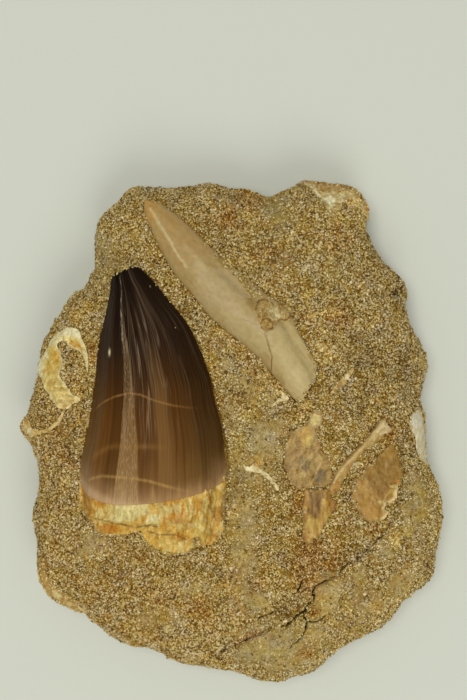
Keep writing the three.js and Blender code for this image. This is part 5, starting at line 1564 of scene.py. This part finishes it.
grainLook = {
    "pieces": 5,
    "perPiece": 16500,
    "seed": 417,
    "spare": 1.35,  # places drawn for each grain, because those on a fossil are dropped
    "shapes": 12, "stretch": (0.78, 1.25),
    "size": 0.138,  # half width of a common grain
    "spread": 0.28, "least": 0.085, "most": 0.40,
    "sink": 0.02,
    "onClay": 0.14, "onFlanks": 0.30,  # how densely they lie there, against level gritty sand
    "clearOfCracks": 0.16,
    # share of the grains, and how much they are lighter than the sand in red, green and blue
    "kinds": [(0.38, (0.195, 0.20, 0.15)), (0.24, (0.27, 0.29, 0.265)), (0.18, (0.06, 0.045, -0.05)),
              (0.10, (-0.08, -0.12, -0.24)), (0.05, (0.17, 0.12, 0.0)), (0.02, (0.31, 0.345, 0.36)),
              (0.03, (-0.14, -0.18, -0.28))],
    "jitter": 0.04,
    # where sand still lies on the fossils: x, y, reach, share of the grains left there
    "dusted": [
        (-4.4, 33.2, 0.6, 0.6), (-2.4, 31.6, 0.9, 0.8), (-0.6, 30, 1.0, 0.9), (1.0, 28.4, 1.1, 0.95),
        (2.3, 26.9, 1.2, 0.95), (3.6, 25.4, 1.3, 0.95), (4.4, 24.7, 1.0, 0.9), (3.3, 23.8, 0.5, 0.6),
        (5.3, 21.2, 0.5, 0.6), (7.0, 24.2, 0.8, 0.8), (12.6, 17.0, 0.5, 0.7), (13.6, 14.8, 0.6, 0.7),
        (14.6, 12.6, 0.6, 0.7), (14.9, 10.6, 0.9, 0.9), (14.4, 8.4, 1.1, 0.95), (13, 6.6, 1.0, 0.95),
        (12, 5.6, 0.8, 0.9), (11.4, 18.6, 0.5, 0.6), (9.6, 1, 0.8, 0.6), (9.0, -7, 0.7, 0.6),
        (17.4, -4.4, 0.5, 0.5), (21.6, -9.6, 0.9, 0.8), (22.6, -7.6, 0.8, 0.8), (21.4, -12.6, 0.8, 0.6),
        (24.6, -5.6, 0.7, 0.6), (-29.6, 11.4, 0.7, 0.7), (-30.8, 14.6, 0.5, 0.4), (22.8, 41, 1.2, 0.4),
        (19, 39.6, 0.9, 0.6), (-34, -25, 0.9, 0.4), (-27.6, -32, 0.9, 0.5), (-6.2, -18.8, 0.8, 0.7),
        (-4, -19.6, 0.7, 0.5), (-1.0, -12.6, 0.8, 0.7), (-1.0, -15.6, 1.0, 0.75), (-1.8, -18, 0.9, 0.8),
        (-26.8, -12.6, 0.6, 0.6), (-24.4, -16, 0.6, 0.5), (12.8, -14, 0.4, 0.4), (27.4, -16, 0.6, 0.4),
        (15.6, 44.2, 1.1, 0.5), (20.6, 43.2, 1.3, 0.45), (23.4, 41.6, 1.0, 0.5),
    ],
}


# A few rounded grains of eight corners each, with different knocks.
def grainShapes(count, rng):
    deselectAll()
    bpy.ops.mesh.primitive_cube_add(size=1)
    seedGrain = bpy.context.object
    corners = coords(seedGrain) * mm * 2
    faces = [list(f.vertices) for f in seedGrain.data.polygons]
    bpy.data.objects.remove(seedGrain)
    shapes = [corners * 0.72 * rng.uniform(0.72, 1.22, (8, 1)) + rng.uniform(-0.16, 0.16, (8, 3))
              for _ in range(count)]
    return np.array(shapes), np.array(faces)


# Random places on the block, the way each faces and the sand's colour there.
def sampleSurface(body, count, rng):
    body.data.calc_loop_triangles()
    tris = np.empty(len(body.data.loop_triangles) * 3, np.int32)
    body.data.loop_triangles.foreach_get("vertices", tris)
    tris = tris.reshape(-1, 3)
    p = coords(body)[tris]
    cross = np.cross(p[:, 1] - p[:, 0], p[:, 2] - p[:, 0])
    area = np.linalg.norm(cross, axis=1)
    up = cross[:, 2] / np.maximum(area, 1e-9)
    onClay, onFlanks = grainLook["onClay"], grainLook["onFlanks"]
    wanted = area * (onClay + (1 - onClay) * smooth(rockGrit[tris].mean(1), 0.06, 0.55))
    wanted *= onFlanks + (1 - onFlanks) * smooth(up, 0.25, 0.7)
    wanted *= (up > -0.6) & (p[:, :, 2].mean(1) > 0.5)
    chosen = rng.choice(len(tris), count, p=wanted / wanted.sum())
    a, b = rng.random((2, count))
    flip = a + b > 1
    a, b = np.where(flip, 1 - a, a), np.where(flip, 1 - b, b)
    q = p[chosen]
    spots = q[:, 0] + a[:, None] * (q[:, 1] - q[:, 0]) + b[:, None] * (q[:, 2] - q[:, 0])
    return spots, cross[chosen] / np.maximum(area[chosen, None], 1e-12), rockTone[tris[chosen, 0]]


def randomTurns(count, rng):
    q = rng.normal(size=(count, 4))
    q /= np.linalg.norm(q, axis=1)[:, None]
    w, x, y, z = q.T
    return np.stack([
        np.stack([1 - 2 * (y * y + z * z), 2 * (x * y - w * z), 2 * (x * z + w * y)], 1),
        np.stack([2 * (x * y + w * z), 1 - 2 * (x * x + z * z), 2 * (y * z - w * x)], 1),
        np.stack([2 * (x * z - w * y), 2 * (y * z + w * x), 1 - 2 * (x * x + y * y)], 1),
    ], 1)


# A mesh of four-cornered faces; the points are in mm.
def quadMesh(name, points, quads):
    mesh = bpy.data.meshes.new(name)
    mesh.vertices.add(len(points))
    mesh.vertices.foreach_set("co", (points * mm).astype(np.float32).ravel())
    mesh.loops.add(quads.size)
    mesh.loops.foreach_set("vertex_index", quads.astype(np.int32).ravel())
    mesh.polygons.add(len(quads))
    mesh.polygons.foreach_set("loop_start", np.arange(0, quads.size, 4, dtype=np.int32))
    mesh.update(calc_edges=True)
    mesh.validate()
    return mesh


# Each grain has its own small square of the map, and each of its six faces a part of that.
def mapGrains(mesh, count):
    side = math.ceil(math.sqrt(count))
    cell = np.stack([np.arange(count) % side, np.arange(count) // side], 1) / side
    corner = np.array([(0.08, 0.08), (0.92, 0.08), (0.92, 0.92), (0.08, 0.92)])
    parts = np.array([(i % 3, i // 3) for i in range(6)])
    inCell = (parts[:, None, :] + corner[None]) / np.array([3, 2])
    uv = cell[:, None, None, :] + inCell[None] / side
    layer = mesh.uv_layers.new(name="OFBake")
    layer.uv.foreach_set("vector", uv.astype(np.float32).ravel())


def scatterGrains(name, body, count, rng):
    shapes, faces = grainShapes(grainLook["shapes"], rng)
    spots, facing, tone = sampleSurface(body, int(count * grainLook["spare"]), rng)
    away, creep = toFossils(spots)
    luck = rng.random(len(spots))
    dusted = np.zeros(len(spots))
    for x, y, reach, share in grainLook["dusted"]:
        dusted = np.maximum(dusted, share * smooth(spot(spots, x, y, reach), 0.2, 0.7))
    creeping = (creep > 0) & (luck < np.exp(away / np.maximum(creep * 0.5, 0.01)))
    keep = (away > 0.05) | creeping | (luck < dusted)
    keep &= ~nearCrack(spots, grainLook["clearOfCracks"])
    spots, facing, tone, away = (values[keep][:count] for values in (spots, facing, tone, away))
    count = len(spots)
    over = away < 0.1  # these lie on a fossil's edge
    fossils = [bed[0] for bed in beds if bed[0] in bpy.data.objects] + ["longToothTip", "longToothBase"]
    spots[over, 2] = np.maximum(spots[over, 2], overFace(fossils)(spots[over]))
    size = grainLook["size"] * np.exp(rng.normal(0, grainLook["spread"], count))
    size = np.clip(size, grainLook["least"], grainLook["most"])
    kinds = rng.integers(0, len(shapes), count)
    stretch = rng.uniform(*grainLook["stretch"], (count, 1, 3))
    local = shapes[kinds] * stretch * size[:, None, None]
    turned = np.einsum("nij,nkj->nki", randomTurns(count, rng), local)
    middle = spots + facing * (size * grainLook["sink"])[:, None]
    points = (turned + middle[:, None, :]).reshape(-1, 3)
    quads = (faces[None] + 8 * np.arange(count)[:, None, None]).reshape(-1, 4)
    grains = bpy.data.objects.new(name, quadMesh(name, points, quads))
    bpy.context.scene.collection.objects.link(grains)
    shares = np.array([share for share, colour in grainLook["kinds"]])
    colours = np.array([colour for share, colour in grainLook["kinds"]])
    chosen = rng.choice(len(colours), count, p=shares / shares.sum())
    shade = lighten(tone, colours[chosen] + rng.normal(0, grainLook["jitter"], (count, 1)))
    setTone(grains, np.repeat(shade, 8, axis=0))
    mapGrains(grains.data, count)
    return grains


def grainMaterial(name):
    mat, shader = newMaterial(name, roughness=0.62, specular=0.4)
    fleck = cloud(mat, place(mat), 0.2, 2)
    flecks = ramp(mat, fleck, [(0.3, "c4bfb2"), (0.6, "ffffff")])
    plug(mat, mix(mat, 0.6, painted(mat, "tone", "Color"), flecks, "MULTIPLY"), shader.inputs["Base Color"])
    plug(mat, bump(mat, fleck, 0.04), shader.inputs["Normal"])
    return mat


print("scattering the sand")
rng = np.random.default_rng(grainLook["seed"])
grainSand = grainMaterial("looseSand")
for i in range(grainLook["pieces"]):
    grains = scatterGrains(f"sandGrains{i + 1}", rock, grainLook["perPiece"], rng)
    finishPiece(grains, grainSand)

print("setting the studio")
deselectAll()
bpy.ops.mesh.primitive_plane_add(size=floorLook["size"])
floor = bpy.context.object
floor.name = "studioFloor"
floorMat, floorShader = newMaterial("studioFloor", floorLook["roughness"], floorLook["specular"])
plug(floorMat, paint(floorLook["colour"]), floorShader.inputs["Base Color"])
floor.data.materials.append(floorMat)

world = bpy.data.worlds.new("studio")
world.use_nodes = True
bpy.context.scene.world = world
sky = world.node_tree.nodes["Background"]
sky.inputs["Color"].default_value = paint(view["skyColour"])
skyWay = add(world, "TexCoord")
skySplit = add(world, "SeparateXYZ")
plug(world, skyWay.outputs["Generated"], skySplit.inputs["Vector"])
skyStrength = between(world, skySplit.outputs["Z"], 0.0, 1.0, view["skyAround"], view["skyAbove"])
plug(world, skyStrength, sky.inputs["Strength"])
for name, lampPlace, size, power, colour in lamps:
    light = bpy.data.lights.new(name, "AREA")
    light.shape = "DISK"
    light.size = size
    light.energy = power
    light.color = paint(colour)[:3]
    lamp = bpy.data.objects.new(name, light)
    lamp.location = lampPlace
    aim = Vector(view["lampsAim"]) - Vector(lampPlace)
    lamp.rotation_euler = aim.to_track_quat("-Z", "Y").to_euler()
    bpy.context.scene.collection.objects.link(lamp)

cameraData = bpy.data.cameras.new("topCamera")
cameraData.lens = view["lens"]
cameraData.sensor_width = view["sensor"]
cameraData.clip_start = view["nearest"]
camera = bpy.data.objects.new("topCamera", cameraData)
camera.location = view["place"]
bpy.context.scene.collection.objects.link(camera)
bpy.context.scene.camera = camera
bpy.context.scene.view_settings.view_transform = "Standard"
